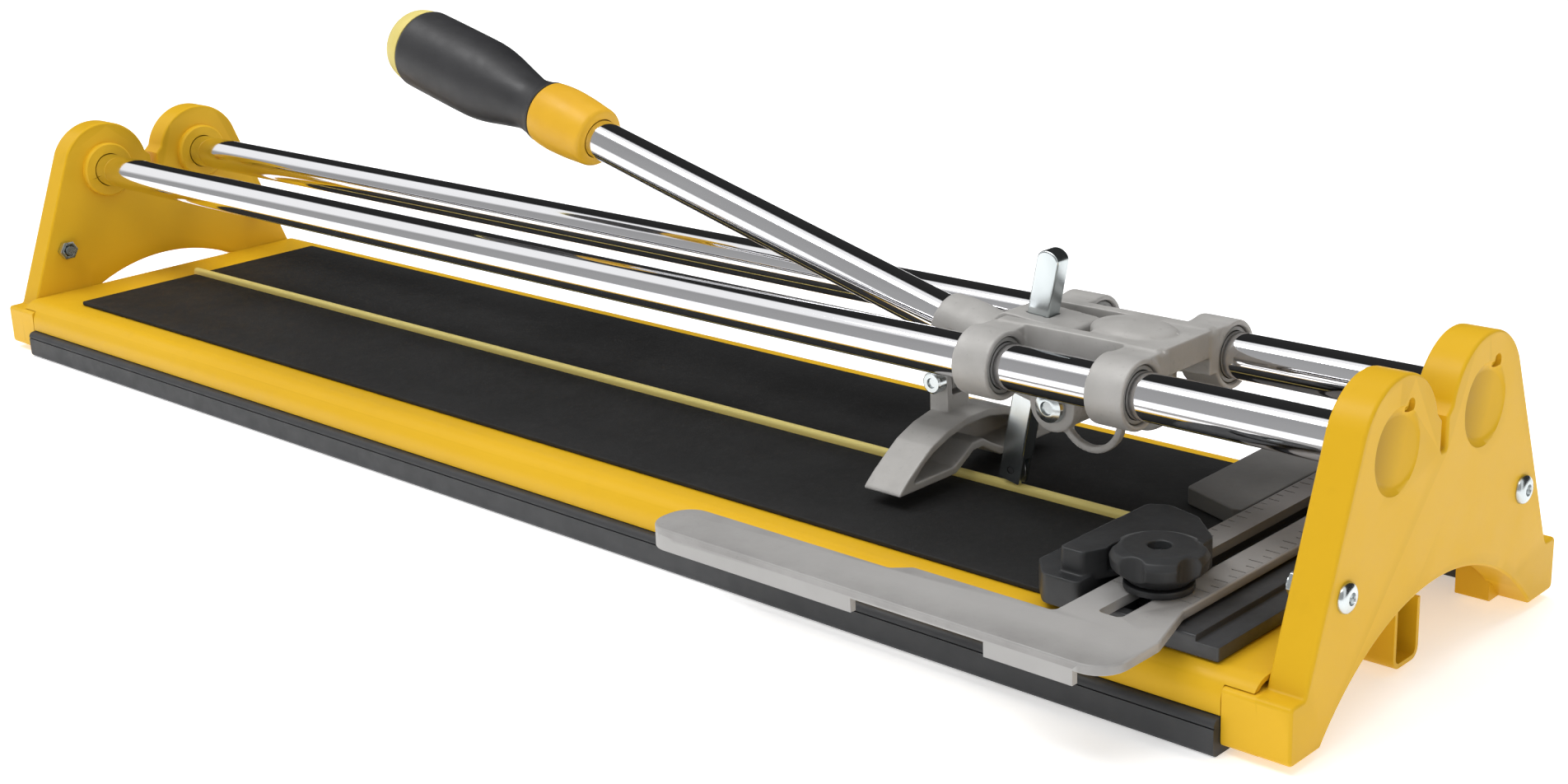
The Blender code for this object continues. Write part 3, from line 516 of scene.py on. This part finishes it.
def centre_spine():
    half, wall, end, top = 8.0, 1.8, 356.0, DECK_TOP - SHEET - 0.3
    outline = [(-half, top), (-half, 6.5)] + arc((-half + 4, 6.5), 4.0, 180, 270, 8)[1:]
    outline += arc((half - 4, 6.5), 4.0, 270, 360, 8) + [(half, top)]
    half -= wall
    outline += [(half, top), (half, 6.5)] + arc((half - 2.2, 6.5), 2.2, 360, 270, 8)[1:]
    outline += arc((-half + 2.2, 6.5), 2.2, 270, 180, 8) + [(-half, top)]
    done(bevel(start("spine", prism(outline, -end, end)), 0.3, 2, 50), YELLOW, "base", "centre_spine")


def deck_surface():
    floor = DECK_TOP + GAP / 2
    for name, side in (("mat_front", -1), ("mat_back", 1)):
        low, high = sorted((side * MAT_INNER, side * MAT_EDGE))
        outline = rounded([(MAT_FAR, low), (MAT_NEAR, low), (MAT_NEAR, high), (MAT_FAR, high)], 1.2, 4)
        mat = bevel(start(name + "_rubber", prism(outline, floor, MAT_TOP, "Z")), 0.5, 3, 50)
        done(mat, MAT, "base", name)
    crown = mirrored([(0.0, 29.1), (0.7, 29.1), (1.3, 28.8), (1.7, 28.2), (1.8, 27.6), (1.8, floor)])
    done(start("ridge", prism(crown, MAT_FAR - 4, MAT_NEAR)), PALE, "base", "breaking_ridge", sharp=60)


def foot_strips():
    for name, side in (("foot_strip_front", -1), ("foot_strip_back", 1)):
        corners = [(78.0, 0), (87.3, 0), (87.3, 12.2), (78.0, 12.2)]
        outline = [(side * y, z) for y, z in rounded(corners, [0.8, 2.0, 2.4, 0.8], 5)]
        end = FOOT_IN - 0.3
        strip = start(name + "_rubber", prism(outline, -end, end))
        line = sorted((side * 86.8, side * 89.0))
        cut(strip, box((-400, 400), line, (9.2, 9.7)))
        done(strip, STRIP, "base", name)


def plate_outline():
    arch = (0.0, ARCH_TOP - ARCH_R)
    foot_angle = math.degrees(math.asin((FOOT_BOTTOM - arch[1]) / ARCH_R))
    half = arc(arch, ARCH_R, 90, foot_angle, 24)
    half += rounded([half[-1], (FOOT_HALF, FOOT_BOTTOM), (FOOT_HALF, FOOT_TOP), (76.5, FOOT_TOP), (50, 92)],
                    [0, 2.0, 1.5, 1.5, 0], 4)[1:-1]
    inner_angle = math.degrees(math.acos((4.6 - RAIL_Y) / LOBE_R))
    half += arc((RAIL_Y, RAIL_Z), LOBE_R, 27, inner_angle, 32)
    half += [(1.8, RAIL_Z + 3), (1.8, 76.2), (1.2, 75.3)]
    return half


def end_plate(name, sign):
    half = plate_outline()
    outline = half + [(-y, z) for y, z in reversed(half[1:])]
    plate = start(name + "_casting", prism(outline, *sorted((sign * PLATE_IN, sign * PLATE_OUT))))
    bevel(plate, 1.9, 4, 50)
    joined, cuts = [], []
    for side in (-1, 1):
        x = sorted((sign * FOOT_IN, sign * (PLATE_IN + 2)))
        corners = [(60.0, FOOT_BOTTOM), (FOOT_HALF, FOOT_BOTTOM), (FOOT_HALF, FOOT_TOP), (60.0, FOOT_TOP)]
        joined.append(prism([(side * y, z) for y, z in rounded(corners, [0.8, 1.8, 1.6, 0.8], 4)], *x))
        rail = (side * RAIL_Y, RAIL_Z)
        boss = [(0, 0), (0, 13.5), (3.2, 13.5), (4.0, 12.7), (4.0, 0)]
        joined.append(turned(boss, 48, (sign * (PLATE_IN + 1), *rail), (-sign, 0, 0)))
        dish = [(0, 0), (0, 10.2), (0.3, 11.4), (1.2, 13.0), (2.6, 14.2), (3.6, RECESS_R)]
        dish += [(12, 14.9), (12, 0)]
        cuts.append(turned(dish, ROUND, (sign * (PLATE_OUT - 1.8), *rail), (sign, *RECESS_TILT)))
        cuts.append(rod((sign * (PLATE_IN - 6), *rail), (sign * 360.3, *rail), RAIL_R + GAP, 48))
        lock = (rail[0] + LOCK[0], rail[1] + LOCK[1])
        cuts.append(rod((sign * (PLATE_OUT - 5), *lock), (sign * (PLATE_OUT + 3), *lock), 2.3, 24))
        bolt = (side * BOLT[0], BOLT[1])
        cuts.append(rod((sign * (PLATE_IN - 3), *bolt), (sign * (PLATE_OUT + 3), *bolt), 2.8, 24))
    unite(plate, *joined)
    cut(plate, *cuts)
    bevel(plate, 0.3, 2, 55)
    done(plate, YELLOW, "base", name)


def plate_fasteners(end_name, sign):
    head = [(1.2, 0), (1.2, 1.7), (0.2, 2.0), (0.25, 3.2), (0.8, 4.3), (1.5, 4.8), (2.3, 4.9), (2.3, 2.4)]
    head += [(20.5, 2.4), (20.5, 0)]
    hexagon = [(0, 3.1), (0, 4.9), (3.6, 4.9), (3.6, 3.1), (0, 3.1)]
    socket = [(1.2, 0), (1.2, 0.9), (0, 1.1), (0, 1.8), (0.2, 2.0), (3.0, 2.0), (3.0, 0)]
    for side_name, side in (("front", -1), ("back", 1)):
        place = (side * BOLT[0], BOLT[1])
        name = f"plate_bolt_{end_name}_{side_name}"
        bolt = start(name + "_metal", turned(head, 40, (sign * (PLATE_OUT + 2.4), *place), (-sign, 0, 0)))
        done(bolt, ZINC, "base", name)
        name = f"plate_nut_{end_name}_{side_name}"
        nut = start(name + "_metal", turned(hexagon, 6, (sign * (PLATE_IN - GAP), *place), (-sign, 0, 0)))
        done(bevel(nut, 0.3, 2, 50), ZINC, "base", name)
        lock = (side * RAIL_Y + LOCK[0], RAIL_Z + LOCK[1])
        name = f"rail_lock_screw_{end_name}_{side_name}"
        screw = start(name + "_metal", turned(socket, 24, (sign * (PLATE_OUT - 1.6), *lock), (-sign, 0, 0)))
        done(screw, YELLOW, "base", name, slot="yellow_paint")


def rails():
    for name, side in (("rail_front", -1), ("rail_back", 1)):
        place = (side * RAIL_Y, RAIL_Z)
        tube = start(name + "_tube", pipe((-360, *place), (360, *place), RAIL_R, RAIL_R - 2))
        done(tube, CHROME, "base", name)


def fence():
    base = start("fence_bar", box((288, 337), (-78, 76), (DECK_TOP + GAP, 32.4)))
    bevel(base, 0.8, 3)
    holes = [rod((x, y, DECK_TOP - 2), (x, y, 29.3), 2.3, 24) for _, x, y in FENCE_SCREWS]
    cut(base, box((SLOT_X[0] - LIP, SLOT_X[1] + LIP), (-74, 60), (28.2, 40)),
        box((329, 345), (-90, 90), (30.4, 40)), box((314, 326), (-74.5, 72.5), (31.6, 40)), *holes)
    bevel(base, 0.25, 1, 60)
    done(base, BLACK, "base", "fence_base")
    profile = [(1.1, 0), (1.1, 1.5), (0, 1.8), (0, 3.0), (0.6, 3.8), (2.0, 3.8)]
    profile += [(2.0, 2.0), (7.8, 2.0), (7.8, 0)]
    for name, x, y in FENCE_SCREWS:
        screw = start(f"fence_screw_{name}_metal", turned(profile, 32, (x, y, DECK_TOP - SHEET - GAP - 2.0)))
        done(screw, ZINC, "base", "fence_screw_" + name)
    corners = [(260.5, 22.0), (284.0, 13.5), (287.0, 15.0), (287.0, 76.0), (259.6, 76.0)]
    outline = rounded(corners, [2.5, 1.5, 1.0, 2.0, 2.0], 4)
    plate = start("fence_rear_block", prism(outline, MAT_TOP + GAP, 34.0, "Z"))
    bevel(plate, 0.7, 3)
    done(plate, DARK, "base", "fence_rear_plate")


def rip_guide():
    left, right = ARM_X
    panel = [
        (GUIDE_TIP, GUIDE_FRONT), (328.0, GUIDE_FRONT), (328.0, -95.0), (right, -72.0), (right, 62.0),
        (left, 62.0), (left, -95.0), (236.0, -95.0), (230.0, -100.0), (GUIDE_TIP, -100.0),
    ]
    radii = [9.0, 10.0, 5.0, 4.0, 2.0, 2.0, 2.0, 3.0, 3.0, 9.0]
    guide = start("guide_casting", prism(rounded(panel, radii), ARM_BOTTOM, ARM_TOP, "Z"))
    bevel(guide, 0.6, 3, 50)
    slot = rounded([(x, y) for y in SLOT_Y for x in SLOT_X[:: 1 if y < 0 else -1]], 2.0, 5)
    cut(guide, prism(slot, 20, 50, "Z"))
    tip = (GUIDE_TIP + 9.0, GUIDE_FRONT + 9.0)
    lips = [box(x, (GUIDE_FRONT, GUIDE_FRONT + LIP), (28.2, 33.7)) for x in ((tip[0], 232.0), (284.0, 316.0))]
    lips.append(prism(arc(tip, 9.0, 180, 271, 10) + arc(tip, 9.0 - LIP, 271, 180, 10), 28.2, 33.7, "Z"))
    unite(guide, *lips)
    marks = bmesh.new()
    for i in range(MARKS):
        y = MARK_FIRST + MARK_STEP * i
        long = 5.0 if i % 2 == 0 else 3.0
        for x in ((right - 1.2 - long, right - 1.2), (left + 1.0, left + 1.0 + long * 0.8)):
            piece = box(x, (y - 0.3, y + 0.3), (ARM_TOP - 0.25, ARM_TOP + 1))
            mesh = bpy.data.meshes.new("mark")
            piece.to_mesh(mesh)
            piece.free()
            marks.from_mesh(mesh)
            bpy.data.meshes.remove(mesh)
    cut(guide, marks)
    bevel(guide, 0.15, 1, 60)
    done(guide, LIGHT, "rip_guide", "rip_guide")


def angle_stop():
    corners = [(266.0, -70.0), (274.0, -79.0), (287.4, -79.0), (287.4, -10.0), (268.0, -10.0)]
    outline = rounded(corners, [4.0, 5.0, 2.0, 2.0, 9.0])
    block = start("stop_block", prism(outline, MAT_TOP + 1.2, STOP_TOP, "Z"))
    corners = [
        (277.0, -74.0), (277.3, -27.0), (284.0, -23.5), (297.0, -27.0), (310.0, -39.0), (312.0, -58.0),
        (292.0, -60.0), (285.5, -74.0),
    ]
    hood = rounded(corners, [1.5, 4.0, 5.0, 5.0, 4.0, 1.5, 1.5, 1.5])
    base = ARM_TOP + GAP
    unite(block, prism(hood, base, HOOD_TOP, "Z"), rod((*CLAMP, base), (*CLAMP, STOP_TOP + 0.4), 11.0, 48))
    hollow = rounded([(274.0, -67.0), (284.0, -72.0), (284.0, -44.0), (279.5, -44.0)], 1.5)
    cut(block, rod((*CLAMP, STOP_TOP), (*CLAMP, HOOD_TOP + 5), KNOB_R + 1.3, 64),
        prism(hollow, MAT_TOP, STOP_TOP - 2, "Z"), rod((*CLAMP, 30), (*CLAMP, 55), 4.0))
    cast(block, 0.4, 3)
    done(block, BLACK, "stop", "angle_stop", "clamp_hood", sharp=0)
    bolt = [(0, 0), (0, 5.7), (0.3, 6.0), (2.6, 6.0), (2.6, 3.4), (18.2, 3.4), (18.5, 3.1), (18.5, 0)]
    done(start("clamp_bolt_metal", turned(bolt, 40, (*CLAMP, 28.8))), ZINC, "stop", "clamp_bolt")
    low = STOP_TOP + GAP
    high = KNOB_TOP - low
    profile = [(0, 3.7), (0, 9.5), (2.0, 11.5), (4.5, KNOB_R - 0.5), (high - 3.0, KNOB_R)]
    profile += [(high - 1.0, KNOB_R - 1.2), (high, KNOB_R - 4.0), (high, 3.7), (0, 3.7)]
    knob = start("clamp_knob_plastic", turned(profile, ROUND, (*CLAMP, low)))
    scoops = []
    for i in range(SCOOPS):
        angle = math.radians(-90 + 360 / SCOOPS * i)
        centre = (CLAMP[0] + SCOOP_OUT * math.cos(angle), CLAMP[1] + SCOOP_OUT * math.sin(angle))
        scoops.append(rod((*centre, low - 1), (*centre, KNOB_TOP + 5), SCOOP_R))
    cut(knob, *scoops)
    cast(knob, 0.35, 5)
    done(knob, BLACK, "knob", "clamp_knob", sharp=0)


# ---------------------------------------------------------------- carriage


def dome(centre, base, radii, height):
    """A low oval dome on a flat base."""
    steps = 10
    profile = [(-3.0, 1.0)]
    for i in range(steps + 1):
        angle = math.pi / 2 * i / steps
        profile.append((height * math.sin(angle), math.cos(angle) if i < steps else 0))
    bm = turned(profile, 48)
    bmesh.ops.scale(bm, vec=(*radii, 1.0), verts=bm.verts)
    bmesh.ops.translate(bm, vec=(*centre, base), verts=bm.verts)
    return bm


def carriage():
    half_long = BARREL_LONG / 2
    low, high = BARREL_X[0] - half_long, BARREL_X[1] + half_long
    body = start("carriage_casting", box((243.0, high - 0.6), (-13.3, 13.3), (85.0, CARRIAGE_TOP - 0.4)))
    cheek = [(low, 79.0), (PIVOT[0] - LUG_R, 77.0)] + arc(PIVOT, LUG_R, 180, 360, 24)
    cheek += [(PIVOT[0] + LUG_R, 77.0), (high, 79.0), (high, 93.0), (high - 2, CARRIAGE_TOP)]
    cheek += [(low + 3, CARRIAGE_TOP), (low, 92.0)]
    inner, outer = STRAP_R
    strap = arc(STRAP, outer, 205, 360, 24) + [(STRAP[0] + outer, 81.0), (STRAP[0] + inner, 81.0)]
    strap += arc(STRAP, inner, 360, 205, 24)
    joined, bores = [dome((254.0, -1.0), CARRIAGE_TOP - 0.6, (16.0, 11.0), 4.0)], []
    for side in (-1, 1):
        joined.append(prism(cheek, *sorted((side * CHEEK[0], side * CHEEK[1])), "Y"))
        joined.append(prism(strap, *sorted((side * (CHEEK[0] + 0.9), side * (CHEEK[1] - 0.9))), "Y"))
        for x in BARREL_X:
            web_x = (x - half_long + 0.5, x + half_long - 0.5)
            joined.append(box(web_x, sorted((side * 15.5, side * (RAIL_Y + 1))), (83.0, 94.2)))
            line = (side * RAIL_Y, RAIL_Z)
            joined.append(rod((x - half_long, *line), (x + half_long, *line), BARREL_R, 48))
            bores.append(rod((x - BARREL_LONG, *line), (x + BARREL_LONG, *line), 10.0, 48))
    unite(body, *joined)
    cut(body, *bores, across(PIVOT, 3.3))
    cast(body, 0.45, 8)
    done(body, CAST, "carriage", "carriage_body", sharp=0)
    for side_name, side in (("front", -1), ("back", 1)):
        for end_name, x in zip(("far", "near"), BARREL_X):
            ends = [(x + along, side * RAIL_Y, RAIL_Z) for along in (-6.3, 6.3)]
            name = f"rail_bush_{side_name}_{end_name}"
            # The bushes sit 1 mm inside the barrel ends. Their dark grey is painted shade for that gap.
            done(start(name + "_ring", pipe(*ends, 9.7, 8.3)), SHADED_NYLON, "carriage", name)
    x, z = PIVOT
    profile = [(0.9, 0), (0.9, 2.2), (0, 2.5), (0.1, 3.6), (0.8, 5.2), (2.8, 5.8), (2.8, 3.0)]
    profile += [(42.0, 3.0), (42.4, 2.6), (42.4, 0)]
    bolt = turned(profile, 40, (x, -20.1, z), (0, 1, 0))
    done(start("pivot_bolt_metal", bolt), ZINC, "carriage", "pivot_bolt")
    nut = turned([(0, 3.3), (0, 5.8), (4, 5.8), (4, 3.3), (0, 3.3)], 6, (x, 17.3, z), (0, 1, 0))
    done(bevel(start("pivot_nut_metal", nut), 0.4, 2, 50), ZINC, "carriage", "pivot_nut")


# ---------------------------------------------------------------- handle


def along_handle(distance):
    return HANDLE_END[0] - distance * math.cos(TILT), HANDLE_END[1] + distance * math.sin(TILT)


def handle_point(distance):
    x, z = along_handle(distance)
    return x, 0.0, z


def stem_point(along, across=0.0):
    c, s = math.cos(STEM_LEAN), math.sin(STEM_LEAN)
    return STEM_FOOT[0] + along * s + across * c, STEM_FOOT[1] + along * c - across * s


def stem_band(low, high, grow):
    """The outline of a length of the stem, grown sideways."""
    half = STEM_SIZE[0] / 2 + grow
    return [stem_point(low, -half), stem_point(low, half), stem_point(high, half), stem_point(high, -half)]


def stem_outline():
    half, crown, steps = STEM_SIZE[0] / 2, 3.6, 16
    points = [stem_point(0, -half), stem_point(0, half)]
    for i in range(steps + 1):
        angle = math.pi * i / steps
        points.append(stem_point(STEM_LONG - crown + crown * math.sin(angle), half * math.cos(angle)))
    return points


def handle_casting():
    profile = [(8.0, 0), (8.0, 9.4), (9.0, 10.0), (13.0, 10.6), (21.0, 11.2), (30.0, 11.0)]
    profile += [(44.0, 10.0), (44.0, 0)]
    back = tuple(-c for c in HANDLE_WAY)
    obj = start("handle_socket", turned(profile, 48, handle_point(0), back))
    corners = [(198.0, 69.0), (226.0, 62.5), (236.0, 76.0), (234.0, 93.0), (205.0, 95.0), (190.0, 80.0)]
    block = rounded(corners, [4.0, 3.0, 3.0, 2.0, 6.0, 6.0])
    lug = arc(FOOT_PIVOT, 4.6, 180, 340, 20) + [(183.0, 72.0), (184.0, 80.0), (174.5, 80.0), (169.4, 70.0)]
    hub = across(PIVOT, LUG_R - 0.5, 48, CHEEK[0] - 0.5)
    unite(obj, prism(block, -9.4, 9.4, "Y"), hub, prism(lug, -2.8, 2.8, "Y"))
    set_x, set_z = stem_point(52.0)
    cross = along_handle(TUBE_PIN)
    cut(obj, prism(stem_band(-10.0, STEM_LONG + 10, GAP), -3.8, 3.8, "Y"),
        rod(handle_point(-32), handle_point(10), RAIL_R + GAP, 48), across(PIVOT, 3.3), across(cross, 2.0),
        across(FOOT_PIVOT, 2.7, 24), rod((set_x + 3.6, 0, set_z), (set_x + 30, 0, set_z), 2.3, 24))
    cast(obj, 0.45, 8)
    done(obj, CAST, "handle", "handle_casting", sharp=0)
    screw = rod((set_x + 5.7, 0, set_z), (set_x + 13.0, 0, set_z), 2.0, 24)
    done(start("stem_set_screw_metal", screw), ZINC, "handle", "stem_set_screw")
    done(start("tube_pin_metal", across(cross, 1.7, 24, 10.0)), ZINC, "handle", "tube_pin")


def handle_tube_and_grip():
    tube = start("handle_tube_chrome", pipe(handle_point(-31), handle_point(283), 8.0, 6.2))
    done(tube, CHROME, "handle", "handle_tube")

    def along(name, profile, mat, node):
        piece = start(name, turned(profile, 72, handle_point(0), HANDLE_WAY))
        return done(piece, mat, "handle", node, sharp=50)

    outer = smooth_profile([(178.2, 11.7), (179.6, 12.3), (184.0, 12.8), (190.0, 13.4), (198.0, 13.8),
                            (204.0, 13.6), (207.6, 13.2)])
    collar = [(177.5, 8.3), (177.5, 10.9)] + outer + [(208.5, 12.4), (208.5, 8.3), (177.5, 8.3)]
    along("grip_collar_moulding", collar, YELLOW_GRIP, "grip_collar")
    outer = smooth_profile([(209.3, 13.0), (213.0, 12.0), (219.3, 11.3), (226.0, 12.5), (233.0, 14.1),
                            (241.0, 15.9), (248.0, 16.9), (257.0, 17.2), (286.0, 17.2), (289.8, 17.0),
                            (290.7, 16.6)])
    grip = [(208.8, 8.3), (208.8, 12.6)] + outer + [(291.0, 16.0), (291.0, 8.3), (208.8, 8.3)]
    along("grip_rubber", grip, GRIP, "grip_sleeve")
    outer = smooth_profile([(291.6, 16.4), (295.0, 16.1), (299.0, 14.7), (302.0, 11.8), (303.6, 7.5),
                            (303.9, 4.0)])
    cap = [(284, 0), (284, 7.9), (291.3, 7.9), (291.3, 16.0)] + outer + [(304.0, 0)]
    along("grip_cap_moulding", cap, PALE, "grip_cap")


def wheel_and_stem():
    half_y = STEM_SIZE[1] / 2
    stem = start("wheel_stem_metal", prism(stem_outline(), -half_y, half_y, "Y"))
    bevel(stem, 0.8, 3, 30)
    slot = prism(stem_band(-5.0, 10.0, 5.0), -1.1, 1.1, "Y")
    shoulders = [prism(stem_band(-5.0, 12.0, 5.0), *sorted((side * (half_y - 0.9), side * (half_y + 5))), "Y")
                 for side in (-1, 1)]
    cut(stem, slot, *shoulders, across((WHEEL[0], WHEEL[2]), 1.5, 24))
    bevel(stem, 0.2, 2, 60)
    done(stem, ZINC, "handle", "wheel_stem")
    axle = across((WHEEL[0], WHEEL[2]), 1.2, 24, 2.5)
    done(start("wheel_axle_metal", axle), STEEL, "handle", "wheel_axle")
    profile = [(-0.7, 1.5), (-0.7, 3.4), (0, 5.0), (0.7, 3.4), (0.7, 1.5), (-0.7, 1.5)]
    done(start("scoring_wheel_metal", turned(profile, 64, WHEEL, (0, 1, 0))), STEEL, "wheel", "scoring_wheel")


def breaker_foot():
    shell = [
        (0.0, 52.0), (7.0, 52.0), (17.0, 50.0), (26.0, 46.5), (33.0, 42.0), (39.0, 37.8), (43.0, 34.5),
        (44.0, 33.5), (44.0, 32.5), (13.0, 32.5), (6.0, 36.5), (2.6, 38.5), (0.0, 38.5),
    ]
    foot = start("breaker_foot_casting", prism(mirrored(shell), *FOOT_X))
    x, z = FOOT_PIVOT
    ear_r = FOOT_NECK_X[1] - x
    ear = arc(FOOT_PIVOT, ear_r, 0, 180, 20) + [(FOOT_NECK_X[0], 46.0), (FOOT_NECK_X[1], 46.0)]
    unite(foot, prism(ear, -6.2, 6.2, "Y"))
    pocket = [
        (0.0, 49.0), (7.0, 48.8), (16.0, 47.0), (25.0, 43.8), (31.5, 40.0), (36.5, 35.4), (14.0, 35.4),
        (7.5, 38.8), (3.0, 41.5), (0.0, 41.5),
    ]
    cut(foot, prism(mirrored(pocket), FOOT_X[0] + 2.5, FOOT_X[1] + 5),
        box((x - 15, x + 15), (-3.3, 3.3), (z - 5.4, z + 15)), across(FOOT_PIVOT, 2.7, 24))
    cast(foot, 0.4, 5)
    done(foot, CAST, "foot", "breaker_foot", sharp=0)
    profile = [(0.8, 0), (0.8, 1.6), (0, 1.9), (0, 3.4), (0.6, 4.1), (3.8, 4.1), (3.8, 2.4)]
    profile += [(21.2, 2.4), (21.4, 2.1), (21.4, 0)]
    bolt = turned(profile, 32, (x, -10.3, z), (0, 1, 0))
    done(start("foot_bolt_metal", bolt), ZINC, "handle", "foot_bolt")
    nut = turned([(0, 3.1), (0, 4.4), (3.4, 4.4), (3.4, 3.1), (0, 3.1)], 6, (x, 6.5, z), (0, 1, 0))
    done(bevel(start("foot_nut_metal", nut), 0.3, 2, 50), ZINC, "handle", "foot_nut")


# ---------------------------------------------------------------- studio


def studio():
    bm = bmesh.new()
    bmesh.ops.create_grid(bm, x_segments=2, y_segments=2, size=9.0)
    mesh = bpy.data.meshes.new("floor")
    bm.to_mesh(mesh)
    bm.free()
    floor = bpy.data.objects.new("floor", mesh)
    bpy.context.scene.collection.objects.link(floor)
    s = Surface("floor_paper", specular=0.1)
    s.colour(s.mix(s.noise(1.5), (0.93, 0.93, 0.93), (0.95, 0.95, 0.95)))
    s.shader.inputs["Roughness"].default_value = 0.9
    s.shader.inputs["Emission Color"].default_value = (1.0, 1.0, 1.0, 1.0)
    s.shader.inputs["Emission Strength"].default_value = 0.42
    mesh.materials.append(s.mat)
    bpy.context.scene.view_settings.view_transform = "Standard"
    bpy.context.scene.view_settings.look = "None"
    sky()

    def area(name, place, target, size, power, mirrored_too=True):
        light = bpy.data.lights.new(name, "AREA")
        light.shape = "RECTANGLE"
        light.size, light.size_y = size
        light.energy = power
        obj = bpy.data.objects.new(name, light)
        obj.location = place
        obj.rotation_euler = (Vector(target) - Vector(place)).to_track_quat("-Z", "Y").to_euler()
        obj.visible_glossy = mirrored_too
        bpy.context.scene.collection.objects.link(obj)

    area("key", (-0.3, -0.75, 1.75), (0, 0, 0.05), (1.8, 0.5), 19)
    area("fill", (1.5, -0.9, 0.8), (0.2, 0, 0.05), (0.8, 0.8), 1.4, False)
    area("top", (0.0, 0.7, 1.7), (0, 0, 0.05), (1.8, 0.6), 12, False)


def sky():
    """Soft white all round; in reflections it has a dark side, a bright overhead band and a grey side."""
    world = bpy.data.worlds.new("studio")
    bpy.context.scene.world = world
    world.use_nodes = True
    nodes, links = world.node_tree.nodes, world.node_tree.links
    way = nodes.new("ShaderNodeSeparateXYZ")
    links.new(nodes.new("ShaderNodeTexCoord").outputs["Generated"], way.inputs["Vector"])
    place = nodes.new("ShaderNodeMapRange")
    place.inputs["From Min"].default_value = -1.0
    place.inputs["From Max"].default_value = 1.0
    links.new(way.outputs["Y"], place.inputs["Value"])
    bands = nodes.new("ShaderNodeValToRGB")
    ramp = bands.color_ramp
    stops = ((0.0, 0.42), (0.26, 0.36), (0.30, 1.0), (0.52, 1.0), (0.56, 0.02), (1.0, 0.03))
    while len(ramp.elements) < len(stops):
        ramp.elements.new(0.5)
    for element, (position, value) in zip(ramp.elements, stops):
        element.position = position
        element.color = (value, value, value, 1.0)
    links.new(place.outputs["Result"], bands.inputs["Fac"])
    path = nodes.new("ShaderNodeLightPath")
    choose = nodes.new("ShaderNodeMix")
    choose.data_type = "RGBA"
    choose.inputs[6].default_value = (0.54, 0.54, 0.54, 1.0)
    links.new(path.outputs["Is Glossy Ray"], choose.inputs["Factor"])
    links.new(bands.outputs["Color"], choose.inputs[7])
    links.new(choose.outputs[2], nodes["Background"].inputs["Color"])


def camera():
    data = bpy.data.cameras.new("camera")
    data.sensor_width = 36.0
    data.lens = 50.4643
    data.shift_x = 0.0084034
    data.shift_y = -0.0059874
    obj = bpy.data.objects.new("camera", data)
    turn, pitch, roll = math.radians(44.15), math.radians(17.53), math.radians(-2.397)
    ahead = Vector((-math.sin(turn) * math.cos(pitch), math.cos(turn) * math.cos(pitch), -math.sin(pitch)))
    right = ahead.cross(Vector((0, 0, 1))).normalized()
    up = right.cross(ahead)
    right, up = math.cos(roll) * right + math.sin(roll) * up, -math.sin(roll) * right + math.cos(roll) * up
    place = Vector((653.3, -586.1 + CENTRE, 302.0)) * MM
    obj.matrix_world = Matrix((
        (right.x, up.x, -ahead.x, place.x),
        (right.y, up.y, -ahead.y, place.y),
        (right.z, up.z, -ahead.z, place.z),
        (0, 0, 0, 1),
    ))
    bpy.context.scene.collection.objects.link(obj)
    bpy.context.scene.camera = obj


base_tray()
centre_spine()
deck_surface()
foot_strips()
for end_name, sign in (("far", -1), ("near", 1)):
    end_plate("end_plate_" + end_name, sign)
    plate_fasteners(end_name, sign)
rails()
fence()
rip_guide()
angle_stop()
carriage()
handle_casting()
handle_tube_and_grip()
wheel_and_stem()
breaker_foot()
studio()
camera()
